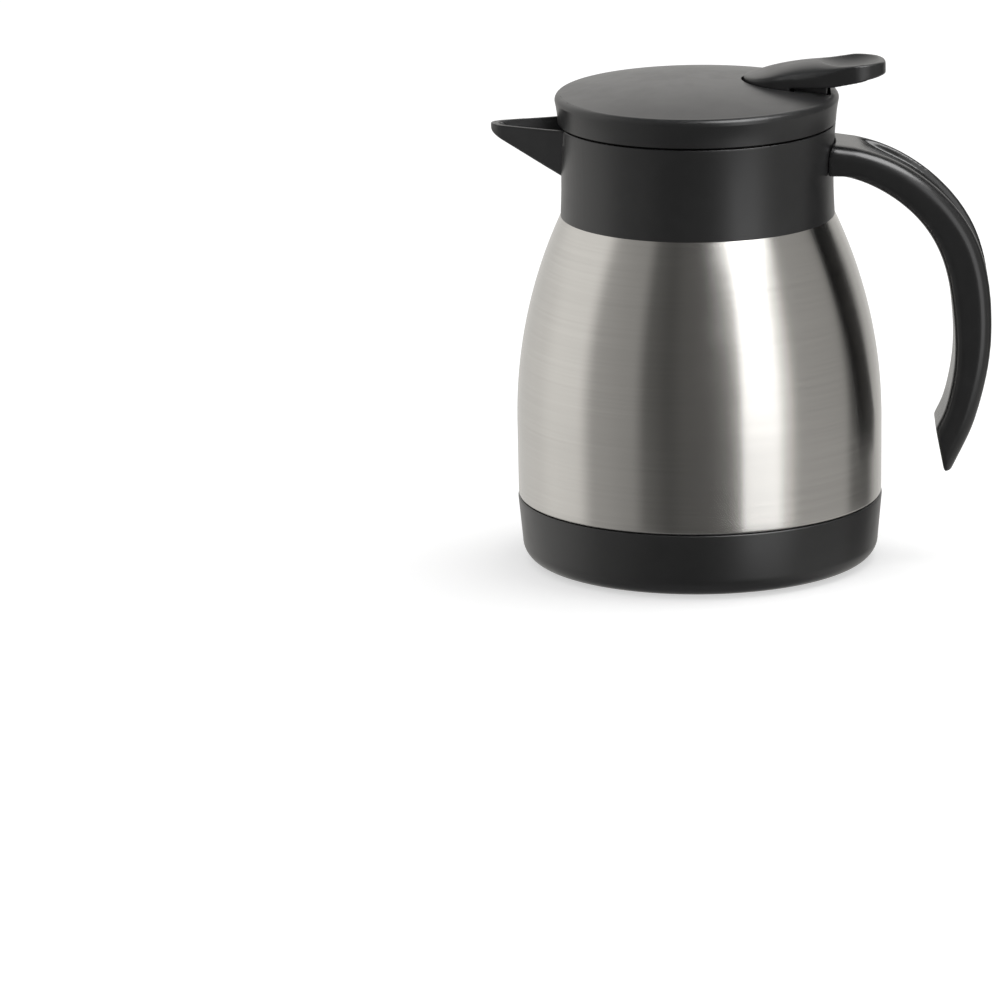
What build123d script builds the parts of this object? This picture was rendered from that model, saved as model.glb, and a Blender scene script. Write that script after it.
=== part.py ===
from build123d import *
from math import sqrt
import os

os.makedirs("parts", exist_ok=True)

# All lengths are in millimetres. The origin is the centre of the rest face,
# +Z is up, the handle lies towards +X and the spout towards -X.

# Clearances
move_gap = 0.3        # between pieces that move past each other
seat_gap = 0.1        # between nested pieces that stay put
pin_play = 0.05       # round a pin or a stem in its bore
cut_past = 1.0        # how far a cut runs past the face that it opens

# Steel flask
shell_radius = 58.74        # outside, at its widest
shell_foot_draft = 0.14     # narrower by this just above the base seam
widest_height = 46.5        # where the side starts to curve in
collar_radius = 43.95       # where the curved side ends, at the shoulder
shoulder_height = 113.0     # seam between the steel and the collar
shell_wall = 0.6
liner_wall = 0.5
vacuum_gap = 4.9
neck_step = 14.25           # from the inside of the neck to the collar's outside
neck_rise = 6.5             # end of the outer neck above the shoulder seam
neck_gap = 0.2              # between the two walls in the neck
neck_blend = 1.0            # short cone where the shoulder runs into the neck
shelf_width = 2.6           # flat ring that the collar stands on
shoulder_rise = 2.2         # cone from that ring up to the neck
liner_shoulder_drop = 6.0   # the liner's shoulder starts this far below the seam

# Base
base_seam = 21.2            # top edge of the base cup
cup_proud = 0.06            # the cup's top edge stands out from the shell by this
cup_draft = 1.5             # narrower by this at its foot
cup_round = 6.5
cup_wall = 2.2
cup_floor = 2.6
cup_lip_round = 0.35
pad_lift = 0.3              # the pad stands out below the cup by this much
pad_margin = 5.0            # pad inside the flat of the cup's foot
pad_sink = 1.2
bottom_height = 6.2         # underside of the steel outer bottom
bottom_lip = 3.0
liner_bottom_height = 10.8
liner_bottom_round = 7.0
liner_weld_height = 18.5
getter_radius = 7.0
getter_thickness = 1.6
getter_offset = 22.0
vent_radius = 1.0
vent_plug_radius = 3.5
vent_plug_thickness = 0.8
cushion_inner = 30.0
cushion_outer = 40.0

# Collar
collar_height = 29.7
collar_wall = 2.0
collar_flare = 0.45         # wider at its top edge than at its foot
collar_waist = 0.35         # narrower at its waist than at its foot
collar_waist_height = 11.0
collar_floor = 2.0
collar_floor_lift = 3.0     # underside of the floor above the shoulder seam

# Neck ring with the thread for the stopper
ring_wall = 2.1
ring_flange = 4.6
ring_flange_thickness = 2.0
seal_thickness = 1.2
ledge_thickness = 1.5
ledge_gap = 0.2             # ledge outside the mouth
thread_step = 1.3           # thread bore outside the mouth
thread_height = 8.0
thread_lead = 48.0
thread_starts = 4
thread_depth = 1.8          # how far a lug stands out
thread_clearance = 0.4
thread_outer_wall = 1.8
lug_height = 2.4
lug_rise = 2.2              # how far a lug climbs along its helix
lug_lift = 0.7              # lowest point of a lug above the cage's foot
groove_lead_in = 0.5        # how far a groove starts below its lug

# Spout
spout_length = 21.5         # tip of the spout past the collar
spout_root_width = 24.0
spout_tip_width = 7.0
spout_root_depth = 17.6     # keel below the rim at the collar
spout_tip_depth = 2.95
spout_wall = 2.0
spout_nose = 4.2            # solid length at the tip
spout_keel_round = 2.4
spout_tip_round = 3.3
spout_rise = 0.6            # rim at the tip above the collar's top edge
spout_rim = 0.8             # upright edge along the rim

# Handle
handle_span = 49.95         # reach past the collar
handle_width = 27.0
handle_top_drop = 5.2       # top of the handle below the collar's top edge
handle_tip_height = 29.6
handle_thickness = 12.5
handle_root_thickness = 10.4
handle_edge = 4.4           # round of the long outer edges
handle_inner_edge = 3.0
handle_tip_round = 2.2      # across the tip
channel_width = 16.4
channel_depth = 2.4
handle_pad = 2.4            # thick spot inside the collar under the screws
handle_pad_margin = 2.2
handle_screw_spacing = 12.0
handle_screw_length = 11.0

# Back of the handle, as shares of its reach from the collar and of its height
handle_back = [
    (0.0, 1.0), (0.14, 0.985), (0.328, 0.958), (0.507, 0.914), (0.737, 0.822), (0.902, 0.706),
    (1.0, 0.481), (0.97, 0.295), (0.894, 0.16), (0.736, 0.001),
]
# Thickness from the third of those points to the last but one, as shares of the full thickness
handle_taper = [0.84, 0.88, 0.934, 1.0, 0.992, 0.877, 0.828]
# Inner corner of the slanting end, as shares like those of the back
handle_corner = (0.638, 0.131)
# Depth of the channel from the second of those points to the last but one, as shares
channel_taper = [0.0, 1.0, 1.0, 1.0, 1.0, 1.0, 1.0, 0.0]

# Screws
screw_radius = 1.25
screw_head_radius = 2.4
screw_head_height = 1.6
screw_hole_play = 0.2
screw_drive_length = 2.6     # cross recess in the head
screw_drive_width = 0.7

# Lid cap
lid_gap = 0.7               # seam between collar and lid
lid_overhang = 1.5          # past the collar's outside
lid_height = 13.9           # skirt's lower edge to the crown
lid_wall = 2.0
lid_crown_radius = 205.0
lid_flare = 0.95            # the skirt is this much narrower at its lower edge
lid_flare_height = 7.1
lid_flare_hollow = 0.15
lid_edge = 2.0
lid_edge_bulge = 0.29       # how far the round's middle lies inside its corner, as a share
lid_boss_radius = 3.2
lid_boss_inset = 11.25      # screws inside the lid's edge
lid_screw_count = 4
lid_screw_start = 45        # angle of the first screw from the handle
lid_screw_length = 9.0

# Stopper
deck_thickness = 2.8
deck_gap = 0.4
plug_gap = 1.1              # between the plug and the neck
plug_depth = 8.0            # below the liner's lip
plug_wall = 3.0
cage_wall = 2.2
cage_foot_thickness = 1.5
stopper_floor = 2.0
seat_radius = 10.0
gasket_height = 4.4
gasket_wall = 1.3
gasket_lip = 0.8
window_count = 6
window_width = 20.0
window_height = 8.0
window_drop = 1.2           # windows below the deck
guide_radius = 6.5
guide_length = 6.6

# Valve
valve_radius = 13.5
valve_thickness = 1.7
valve_seal_thickness = 1.6
valve_seal_radius = 12.8
valve_hub_radius = 4.0
valve_foot_radius = 6.0
valve_foot_thickness = 1.4
stem_radius = 3.0
stem_tip_radius = 2.0
stem_cap_radius = 6.5
stem_cap_thickness = 1.5
stem_cap_bore = 1.0         # the stem's tip reaches this far into the cap
stem_cap_lift = 3.5         # underside of the cap above the deck
spring_radius = 5.0
spring_wire = 1.0
spring_turns = 6

# Lever
lever_width = 21.8
lever_overhang = 15.05      # past the lid's edge
lever_rise = 5.5            # above the lid's crown
lever_end_thickness = 4.3
lever_tip_inset = 30.45     # tip of the tongue inside the lid's edge
lever_tip_stand = 0.6       # tip of the tongue above the lid's surface
lever_pivot_inset = 9.45    # pin inside the lid's edge
lever_pivot_drop = 7.8      # pin below the lid's crown
lever_over_lid = 0.4        # underside of the tongue above the lid, beside the post
lever_post_width = 15.0
lever_post_front = 6.5      # post reaches this far inside the pin
lever_post_back = 5.6       # and this far outside it
lever_post_foot = 2.8       # below the pin
lever_arm_width = 12.0
lever_arm_thickness = 2.4
lever_arm_end = 6.5         # past the stem's axis
lever_fork_play = 0.6
lever_fork_slope = 1.4      # the fork's end is this much thinner
lever_gap = 0.8             # between the tongue and its slot
lever_post_gap = 0.6
lever_pin_radius = 1.5
lever_lug_thickness = 3.4
lever_lug_half = 3.4
lever_dish_radius = 8.6
lever_dish_depth = 1.4
lever_dish_drop = 0.6       # rim of the dish below the lever's top
lever_edge = 1.1
# Top of the tongue, as shares of its length and of its rise
lever_crown = [
    (0.0, 0.0), (0.14, 0.2), (0.26, 0.41), (0.413, 0.635), (0.635, 0.83), (0.804, 0.915), (1.0, 1.0),
]

# Radii that the ones above give
mouth_radius = collar_radius - neck_step
collar_top_radius = collar_radius + collar_flare
collar_waist_radius = collar_radius - collar_waist
collar_bore = collar_waist_radius - collar_wall
pad_face = collar_bore - handle_pad
deck_radius = collar_bore - deck_gap
shell_foot_radius = shell_radius - shell_foot_draft
cup_top_radius = shell_radius + cup_proud
cup_foot_radius = cup_top_radius - cup_draft
pad_radius = cup_foot_radius - cup_round - pad_margin
lid_radius = collar_radius + lid_overhang
lid_boss_circle = lid_radius - lid_boss_inset
lever_reach = lid_radius + lever_overhang
spout_reach = collar_top_radius + spout_length

# Heights that follow
lip_height = shoulder_height + neck_rise
liner_top = lip_height + liner_wall
ledge_height = liner_top + seal_thickness
thread_foot = ledge_height + ledge_thickness
ring_top = thread_foot + thread_height
collar_top = shoulder_height + collar_height
lid_foot = collar_top + lid_gap
lid_top = lid_foot + lid_height
deck_top = lid_foot
deck_foot = deck_top - deck_thickness
plug_foot = liner_top - plug_depth
cage_foot = thread_foot + move_gap
cup_floor_top = pad_lift + cup_floor
floor_foot = shoulder_height + collar_floor_lift
floor_top = floor_foot + collar_floor
flange_top = floor_top + ring_flange_thickness
gasket_foot = plug_foot + stopper_floor
gasket_top = gasket_foot + gasket_height + 2 * seat_gap
valve_seat = plug_foot + stopper_floor
seal_foot = valve_seat + seat_gap
valve_foot = seal_foot + valve_seal_thickness
valve_top = valve_foot + valve_thickness
guide_foot = deck_foot - guide_length
cap_foot = deck_top + stem_cap_lift
arm_top = cap_foot - move_gap
pivot_height = lid_top - lever_pivot_drop
lever_top = lid_top + lever_rise
handle_top = collar_top - handle_top_drop
screw_height = handle_top - handle_root_thickness / 2

# Radii and distances that follow
side_depth = shell_radius - collar_radius
side_height = shoulder_height - widest_height
shell_curve = (side_height**2 + side_depth**2) / (2 * side_depth)
curve_centre = shell_radius - shell_curve
neck_radius = mouth_radius + liner_wall + neck_gap + shell_wall
ring_bore = neck_radius + move_gap
ring_sleeve = ring_bore + ring_wall
ledge_bore = mouth_radius + ledge_gap
thread_bore = mouth_radius + thread_step
groove_radius = thread_bore + thread_depth
thread_tube = groove_radius + thread_outer_wall
cage_radius = thread_bore - thread_clearance
plug_radius = mouth_radius - plug_gap
gasket_bore = plug_radius - gasket_wall
pivot_place = lid_radius - lever_pivot_inset
tongue_tip = lid_radius - lever_tip_inset
tongue_length = lever_reach - tongue_tip
post_front = pivot_place - lever_post_front
post_back = pivot_place + lever_post_back


def wall_radius(height, inset=0.0):
    """Radius of the flask's curved side at a height, moved inwards by inset."""
    return curve_centre + sqrt((shell_curve - inset) ** 2 - (height - widest_height) ** 2)


def cup_radius(height):
    """Outside radius of the base cup's straight side at a height."""
    straight_foot = pad_lift + cup_round
    share = (height - straight_foot) / (base_seam - straight_foot)
    return cup_foot_radius + (cup_top_radius - cup_foot_radius) * share


def skirt_radius(height, inset=0.0):
    """Radius of the shell's skirt, which runs inside the cup, moved inwards by inset."""
    return cup_radius(height) - cup_wall - move_gap - inset


def lid_surface(radius, depth=0.0):
    """Height of the lid's crown at a radius, or of a layer below it."""
    return lid_top - lid_crown_radius + sqrt((lid_crown_radius - depth) ** 2 - radius**2)


def moved_inwards(points, depths):
    """The inner points of an outline, each moved square to the line between its neighbours."""
    moved = []
    for before, point, after, depth in zip(points, points[1:], points[2:], depths):
        along = (after - before).normalized()
        moved.append(point + Vector(along.Y, -along.X) * depth)
    return moved


# Outer shell: skirt in the base cup, curved side, shelf, cone and neck
def shell_outline(inset):
    past = cut_past if inset else 0.0
    ledge = base_seam + seat_gap + inset
    shelf = shoulder_height - inset
    neck = neck_radius - inset
    middle = (widest_height + shelf) / 2
    with BuildLine() as outline:
        side = Polyline(
            (0, bottom_height - past),
            (skirt_radius(bottom_height - past, inset), bottom_height - past),
            (skirt_radius(ledge, inset), ledge),
            (shell_foot_radius - inset, ledge),
            (shell_radius - inset, widest_height),
        )
        curve = ThreePointArc(
            side @ 1,
            (wall_radius(middle, inset), middle),
            (wall_radius(shelf, inset), shelf),
        )
        Polyline(
            curve @ 1,
            (collar_radius - shelf_width, shelf),
            (neck + neck_blend, shelf + shoulder_rise),
            (neck, shelf + shoulder_rise + neck_blend),
            (neck, lip_height + past),
            (0, lip_height + past),
            (0, bottom_height - past),
        )
    return outline.line


with BuildPart() as outer_shell:
    with BuildSketch(Plane.XZ):
        add(shell_outline(0.0))
        make_face()
    revolve(axis=Axis.Z)
    with BuildSketch(Plane.XZ):
        add(shell_outline(shell_wall))
        make_face()
    revolve(axis=Axis.Z, mode=Mode.SUBTRACT)
outer_shell.part.label = "outer_shell"
export_step(outer_shell.part, "parts/outer_shell.step")

# Outer bottom: a pressed pan welded inside the skirt, with the vent in its middle
with BuildPart() as outer_bottom:
    pan_top = bottom_height + bottom_lip
    with BuildSketch(Plane.XZ):
        with BuildLine():
            Polyline(
                (0, bottom_height),
                (skirt_radius(bottom_height, shell_wall), bottom_height),
                (skirt_radius(pan_top, shell_wall), pan_top),
                (skirt_radius(pan_top, 2 * shell_wall), pan_top),
                (skirt_radius(bottom_height, 2 * shell_wall), bottom_height + shell_wall),
                (0, bottom_height + shell_wall),
                close=True,
            )
        make_face()
    revolve(axis=Axis.Z)
    with BuildSketch(Plane.XY.offset(bottom_height)):
        Circle(vent_radius)
    extrude(amount=shell_wall, mode=Mode.SUBTRACT)
outer_bottom.part.label = "outer_bottom"
export_step(outer_bottom.part, "parts/outer_bottom.step")

with BuildPart() as vent_plug:
    with BuildSketch(Plane.XY.offset(bottom_height)):
        Circle(vent_plug_radius)
    extrude(amount=-vent_plug_thickness)
    fillet(vent_plug.edges().group_by(Axis.Z)[0], vent_plug_thickness / 3)
    with BuildSketch(Plane.XY.offset(bottom_height)):
        Circle(vent_radius - pin_play)
    extrude(amount=shell_wall)
vent_plug.part.label = "vent_plug"
export_step(vent_plug.part, "parts/vent_plug.step")

with BuildPart() as getter:
    with BuildSketch(Plane.XY.offset(bottom_height + shell_wall)):
        with Locations((getter_offset, 0)):
            Circle(getter_radius)
    extrude(amount=getter_thickness)
    fillet(getter.edges().group_by(Axis.Z)[-1], getter_thickness / 2)
getter.part.label = "getter"
export_step(getter.part, "parts/getter.step")


# Inner liner: side parallel to the shell, shoulder, neck and welded lip
def liner_outline(inset):
    past = cut_past if inset else 0.0
    total = shell_wall + vacuum_gap + inset
    shoulder = shoulder_height - liner_shoulder_drop
    neck = mouth_radius + liner_wall - inset
    middle = (widest_height + shoulder) / 2
    with BuildLine() as outline:
        side = Polyline(
            (0, liner_weld_height - past),
            (shell_radius - total, liner_weld_height - past),
            (shell_radius - total, widest_height),
        )
        curve = ThreePointArc(
            side @ 1,
            (wall_radius(middle, total), middle),
            (wall_radius(shoulder, total), shoulder),
        )
        Polyline(
            curve @ 1,
            (neck + 2 * neck_blend, shoulder + 2 * shoulder_rise - inset),
            (neck, shoulder + 2 * (shoulder_rise + neck_blend) - inset),
            (neck, liner_top + past),
            (0, liner_top + past),
            (0, liner_weld_height - past),
        )
    return outline.line


with BuildPart() as inner_liner:
    with BuildSketch(Plane.XZ):
        add(liner_outline(0.0))
        make_face()
    revolve(axis=Axis.Z)
    with BuildSketch(Plane.XY.offset(lip_height)):
        Circle(neck_radius)
    extrude(amount=liner_wall)
    with BuildSketch(Plane.XZ):
        add(liner_outline(liner_wall))
        make_face()
    revolve(axis=Axis.Z, mode=Mode.SUBTRACT)
inner_liner.part.label = "inner_liner"
export_step(inner_liner.part, "parts/inner_liner.step")


# Liner bottom: a round-cornered pan welded under the liner
def pan_outline(inset):
    past = cut_past if inset else 0.0
    radius = shell_radius - shell_wall - vacuum_gap
    foot = liner_bottom_height + inset
    corner = (radius - liner_bottom_round, liner_bottom_height + liner_bottom_round)
    with BuildLine() as outline:
        Line((0, foot), (corner[0], foot))
        bend = CenterArc(corner, liner_bottom_round - inset, -90, 90)
        Polyline(
            bend @ 1,
            (radius - inset, liner_weld_height + past),
            (0, liner_weld_height + past),
            (0, foot),
        )
    return outline.line


with BuildPart() as liner_bottom:
    with BuildSketch(Plane.XZ):
        add(pan_outline(0.0))
        make_face()
    revolve(axis=Axis.Z)
    with BuildSketch(Plane.XZ):
        add(pan_outline(liner_wall))
        make_face()
    revolve(axis=Axis.Z, mode=Mode.SUBTRACT)
liner_bottom.part.label = "liner_bottom"
export_step(liner_bottom.part, "parts/liner_bottom.step")

# Base cup: round foot, straight side, recess for the pad
with BuildPart() as base_cup:
    inner_round = cup_round - cup_wall
    round_centre = cup_foot_radius - cup_round
    inner_centre = (round_centre, cup_floor_top + inner_round)
    with BuildSketch(Plane.XZ):
        with BuildLine():
            Line((0, pad_lift), (round_centre, pad_lift))
            foot = CenterArc((round_centre, pad_lift + cup_round), cup_round, -90, 90)
            Polyline(
                foot @ 1,
                (cup_top_radius, base_seam),
                (cup_top_radius - cup_wall, base_seam),
                (round_centre + inner_round, inner_centre[1]),
            )
            CenterArc(inner_centre, inner_round, -90, 90)
            Polyline((round_centre, cup_floor_top), (0, cup_floor_top), (0, pad_lift))
        make_face()
    revolve(axis=Axis.Z)
    with BuildSketch(Plane.XY.offset(pad_lift)):
        Circle(pad_radius + seat_gap)
    extrude(amount=pad_sink, mode=Mode.SUBTRACT)
    fillet(base_cup.edges().group_by(Axis.Z)[-1], cup_lip_round)
base_cup.part.label = "base_cup"
export_step(base_cup.part, "parts/base_cup.step")

with BuildPart() as base_pad:
    with BuildSketch():
        Circle(pad_radius)
    extrude(amount=pad_lift + pad_sink)
    fillet(base_pad.edges().group_by(Axis.Z)[0], pad_lift / 2)
base_pad.part.label = "base_pad"
export_step(base_pad.part, "parts/base_pad.step")

with BuildPart() as base_cushion:
    with BuildSketch(Plane.XY.offset(cup_floor_top)):
        Circle(cushion_outer)
        Circle(cushion_inner, mode=Mode.SUBTRACT)
    extrude(amount=bottom_height - cup_floor_top)
base_cushion.part.label = "base_cushion"
export_step(base_cushion.part, "parts/base_cushion.step")


def collar_outline(play):
    """Outside of the collar, moved outwards by play."""
    with BuildLine() as outline:
        side = ThreePointArc(
            (collar_radius + play, shoulder_height),
            (collar_waist_radius + play, shoulder_height + collar_waist_height),
            (collar_top_radius + play, collar_top),
        )
        Polyline(side @ 1, (0, collar_top), (0, shoulder_height), side @ 0)
    return outline.line


# Spout sections: a rounded V across the spout, its depth and width falling evenly to the tip
def spout_section(distance, inset):
    share = (distance - collar_top_radius) / (spout_reach - collar_top_radius)
    width = spout_root_width + (spout_tip_width - spout_root_width) * share
    depth = spout_root_depth + (spout_tip_depth - spout_root_depth) * share
    half = width / 2 - inset
    keel = depth - inset
    above = cut_past if inset else 0.0
    rim = collar_top + spout_rise * max(share, 0)
    plane = Plane(origin=(-distance, 0, rim), x_dir=(0, 1, 0), z_dir=(1, 0, 0))
    with BuildSketch(plane) as section:
        with BuildLine():
            Polyline(
                (-half, above), (-half, -spout_rim), (0, -keel), (half, -spout_rim), (half, above),
                close=True,
            )
        make_face()
        fillet(section.vertices().sort_by(Axis.Y)[0], min(spout_keel_round, half / 2))
    return section.sketch


# Collar: wall, floor, spout, and the pad that the handle's screws pull on
with BuildPart() as collar:
    pad_half_width = handle_screw_spacing / 2 + screw_head_radius + handle_pad_margin
    pad_half_height = screw_head_radius + handle_pad_margin
    skirt_bore = collar_radius - collar_wall
    with BuildSketch(Plane.XZ):
        add(collar_outline(0.0))
        make_face()
    revolve(axis=Axis.Z)
    loft([spout_section(collar_bore - collar_wall, 0.0), spout_section(spout_reach, 0.0)])
    tip_face = collar.faces().sort_by(Axis.X)[0]
    fillet(tip_face.edges().filter_by(Axis.Z), spout_tip_round)
    with BuildSketch(Plane.XZ):
        with BuildLine():
            Polyline(
                (0, floor_top), (collar_bore, floor_top), (collar_bore, collar_top + cut_past),
                (0, collar_top + cut_past), close=True,
            )
        make_face()
        with BuildLine():
            Polyline(
                (0, shoulder_height - cut_past), (skirt_bore, shoulder_height - cut_past),
                (skirt_bore, floor_foot), (0, floor_foot), close=True,
            )
        make_face()
    revolve(axis=Axis.Z, mode=Mode.SUBTRACT)
    with BuildSketch(Plane.XY.offset(floor_foot)):
        Circle(ring_sleeve + move_gap)
    extrude(amount=collar_floor, mode=Mode.SUBTRACT)
    spout_end = spout_reach - spout_nose
    loft(
        [spout_section(pad_face, spout_wall), spout_section(spout_end, spout_wall)],
        mode=Mode.SUBTRACT,
    )
    with BuildSketch(Plane.YZ.offset(pad_face)):
        with Locations((0, screw_height)):
            RectangleRounded(2 * pad_half_width, 2 * pad_half_height, handle_pad_margin)
    extrude(amount=handle_pad + move_gap)
    with BuildSketch(Plane.YZ.offset(pad_face)):
        with Locations((0, screw_height)), GridLocations(handle_screw_spacing, 0, 2, 1):
            Circle(screw_radius + screw_hole_play)
    extrude(amount=collar_radius - pad_face, mode=Mode.SUBTRACT)
    with BuildSketch(Plane.YZ.offset(pad_face)):
        with Locations((0, screw_height)), GridLocations(handle_screw_spacing, 0, 2, 1):
            Circle(screw_head_radius + screw_hole_play)
    extrude(amount=screw_head_height, mode=Mode.SUBTRACT)
collar.part.label = "collar"
export_step(collar.part, "parts/collar.step")

# Neck ring: sleeve over the neck, flange on the collar's floor, ledge and thread tube
with BuildPart() as thread_groove:
    groove_foot = cage_foot + lug_lift + lug_height / 2 - groove_lead_in
    with BuildLine() as groove_path:
        Helix(
            pitch=thread_lead,
            height=ring_top + lug_height - groove_foot,
            radius=thread_bore,
            center=(0, 0, groove_foot),
        )
    start = groove_path.line
    with BuildSketch(Plane(origin=start @ 0, x_dir=(1, 0, 0), z_dir=start % 0)):
        Rectangle(2 * thread_depth, lug_height + 2 * thread_clearance)
    sweep(path=start, is_frenet=True)

with BuildPart() as neck_ring:
    sleeve_foot = shoulder_height + shoulder_rise + neck_blend + seat_gap
    with BuildSketch(Plane.XZ):
        with BuildLine():
            Polyline(
                (ring_bore, sleeve_foot),
                (ring_sleeve, sleeve_foot),
                (ring_sleeve, floor_top),
                (ring_sleeve + ring_flange, floor_top),
                (ring_sleeve + ring_flange, flange_top),
                (thread_tube, flange_top),
                (thread_tube, ring_top),
                (thread_bore, ring_top),
                (thread_bore, thread_foot),
                (ledge_bore, thread_foot),
                (ledge_bore, ledge_height),
                (ring_bore, ledge_height),
                close=True,
            )
        make_face()
    revolve(axis=Axis.Z)
    groove_turn = -360 * groove_lead_in / thread_lead
    with PolarLocations(0, thread_starts, start_angle=groove_turn):
        add(thread_groove.part, mode=Mode.SUBTRACT)
neck_ring.part.label = "neck_ring"
export_step(neck_ring.part, "parts/neck_ring.step")

with BuildPart() as collar_seal:
    with BuildSketch(Plane.XY.offset(liner_top)):
        Circle(ring_bore - seat_gap)
        Circle(ledge_bore, mode=Mode.SUBTRACT)
    extrude(amount=seal_thickness)
collar_seal.part.label = "collar_seal"
export_step(collar_seal.part, "parts/collar_seal.step")

# Handle: curved bow with rounded long edges, cut off aslant below, with a channel down its back
handle_drop = handle_top - handle_tip_height
back_points = [
    Vector(collar_radius + x * handle_span, handle_tip_height + z * handle_drop)
    for x, z in handle_back
]
belly_points = moved_inwards(back_points[1:], [share * handle_thickness for share in handle_taper])
end_corner = Vector(
    collar_radius + handle_corner[0] * handle_span,
    handle_tip_height + handle_corner[1] * handle_drop,
)
channel_points = moved_inwards(back_points, [share * channel_depth for share in channel_taper])
outside_points = moved_inwards(back_points, [-cut_past for share in channel_taper])

with BuildPart() as handle:
    root = collar_radius - 2 * collar_wall
    with BuildSketch(Plane.XZ):
        with BuildLine():
            back = Spline(*back_points[1:], tangents=[(1, -0.22), (-0.5, -1)])
            tip = Line(back @ 1, (back_points[-1].X - handle_tip_round, handle_tip_height))
            Line(tip @ 1, end_corner)
            belly_start = (collar_radius, handle_top - handle_root_thickness)
            Spline(belly_start, *belly_points, end_corner, tangents=[(1, -0.12), (-0.52, -1)])
            Polyline(belly_start, (root, belly_start[1]), (root, handle_top), back @ 0)
        make_face()
    extrude(amount=handle_width / 2, both=True)
    long_edges = handle.edges().filter_by(lambda edge: edge.length > handle_drop / 2)
    fillet(long_edges.sort_by(Axis.X)[-2:], handle_edge)
    side_edges = handle.edges().filter_by(lambda edge: edge.length > handle_drop / 2)
    side_edges = side_edges.filter_by(lambda edge: abs(edge.center().Y) > handle_width / 2 - pin_play)
    fillet(side_edges.sort_by(Axis.X)[:2], handle_inner_edge)
    with BuildSketch(Plane.XZ):
        with BuildLine():
            channel_floor = Spline(*channel_points)
            channel_mouth = Spline(*outside_points)
            Line(channel_floor @ 0, channel_mouth @ 0)
            Line(channel_floor @ 1, channel_mouth @ 1)
        make_face()
    extrude(amount=channel_width / 2, both=True, mode=Mode.SUBTRACT)
    with BuildSketch(Plane.XZ):
        add(collar_outline(pin_play))
        make_face()
    revolve(axis=Axis.Z, mode=Mode.SUBTRACT)
    with BuildSketch(Plane.YZ.offset(pad_face)):
        with Locations((0, screw_height)), GridLocations(handle_screw_spacing, 0, 2, 1):
            Circle(screw_radius + pin_play)
    extrude(amount=screw_head_height + handle_screw_length + move_gap, mode=Mode.SUBTRACT)
handle.part.label = "handle"
export_step(handle.part, "parts/handle.step")

with BuildPart() as handle_screws:
    with BuildSketch(Plane.YZ.offset(pad_face)):
        with Locations((0, screw_height)), GridLocations(handle_screw_spacing, 0, 2, 1):
            Circle(screw_head_radius)
    extrude(amount=screw_head_height)
    with BuildSketch(Plane.YZ.offset(pad_face + screw_head_height)):
        with Locations((0, screw_height)), GridLocations(handle_screw_spacing, 0, 2, 1):
            Circle(screw_radius)
    extrude(amount=handle_screw_length)
    with BuildSketch(Plane.YZ.offset(pad_face)):
        with Locations((0, screw_height)), GridLocations(handle_screw_spacing, 0, 2, 1):
            Rectangle(screw_drive_length, screw_drive_width)
            Rectangle(screw_drive_width, screw_drive_length)
    extrude(amount=screw_head_height / 2, mode=Mode.SUBTRACT)
handle_screws.part.label = "handle_screws"
export_step(handle_screws.part, "parts/handle_screws.step")

# Stopper body: plug with the gasket's groove and the valve seat, cage with windows, deck
with BuildPart() as thread_lug:
    with BuildLine() as lug_path:
        Helix(
            pitch=thread_lead,
            height=lug_rise,
            radius=cage_radius,
            center=(0, 0, cage_foot + lug_lift + lug_height / 2),
        )
    start = lug_path.line
    with BuildSketch(Plane(origin=start @ 0, x_dir=(1, 0, 0), z_dir=start % 0)):
        Rectangle(2 * thread_depth, lug_height)
    sweep(path=start, is_frenet=True)

with BuildPart() as stopper_body:
    plug_bore = plug_radius - plug_wall
    cage_bore = cage_radius - cage_wall
    groove_root = gasket_bore - move_gap
    cage_step = cage_foot + cage_foot_thickness
    window_middle = deck_foot - window_drop - window_height / 2
    with BuildSketch(Plane.XZ):
        with BuildLine():
            Polyline(
                (0, plug_foot),
                (plug_radius, plug_foot),
                (plug_radius, gasket_foot),
                (groove_root, gasket_foot),
                (groove_root, gasket_top),
                (plug_radius, gasket_top),
                (plug_radius, cage_foot),
                (cage_radius, cage_foot),
                (cage_radius, deck_foot),
                (deck_radius, deck_foot),
                (deck_radius, deck_top),
                (0, deck_top),
                close=True,
            )
        make_face()
    revolve(axis=Axis.Z)
    with BuildSketch(Plane.XZ):
        with BuildLine():
            Polyline(
                (0, valve_seat),
                (plug_bore, valve_seat),
                (plug_bore, cage_step),
                (cage_bore, cage_step + cage_bore - plug_bore),
                (cage_bore, deck_foot),
                (guide_radius, deck_foot),
                (guide_radius, guide_foot),
                (0, guide_foot),
                close=True,
            )
        make_face()
    revolve(axis=Axis.Z, mode=Mode.SUBTRACT)
    with BuildSketch(Plane.XY.offset(plug_foot)):
        Circle(seat_radius)
    extrude(amount=stopper_floor, mode=Mode.SUBTRACT)
    with BuildSketch(Plane.XY.offset(guide_foot)):
        Circle(stem_radius + pin_play)
    extrude(amount=deck_top - guide_foot, mode=Mode.SUBTRACT)
    with Locations((0, 0, window_middle)), PolarLocations(cage_radius - cage_wall, window_count):
        Box(4 * cage_wall, window_width, window_height, mode=Mode.SUBTRACT)
    with BuildSketch(Plane.XY.offset(deck_foot)):
        with PolarLocations(lid_boss_circle, lid_screw_count, start_angle=lid_screw_start):
            Circle(screw_radius + screw_hole_play)
    extrude(amount=deck_thickness, mode=Mode.SUBTRACT)
    with BuildSketch(Plane.XY.offset(deck_foot)):
        with PolarLocations(lid_boss_circle, lid_screw_count, start_angle=lid_screw_start):
            Circle(screw_head_radius + screw_hole_play)
    extrude(amount=screw_head_height, mode=Mode.SUBTRACT)
    with PolarLocations(0, thread_starts):
        add(thread_lug.part)
stopper_body.part.label = "stopper_body"
export_step(stopper_body.part, "parts/stopper_body.step")

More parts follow.
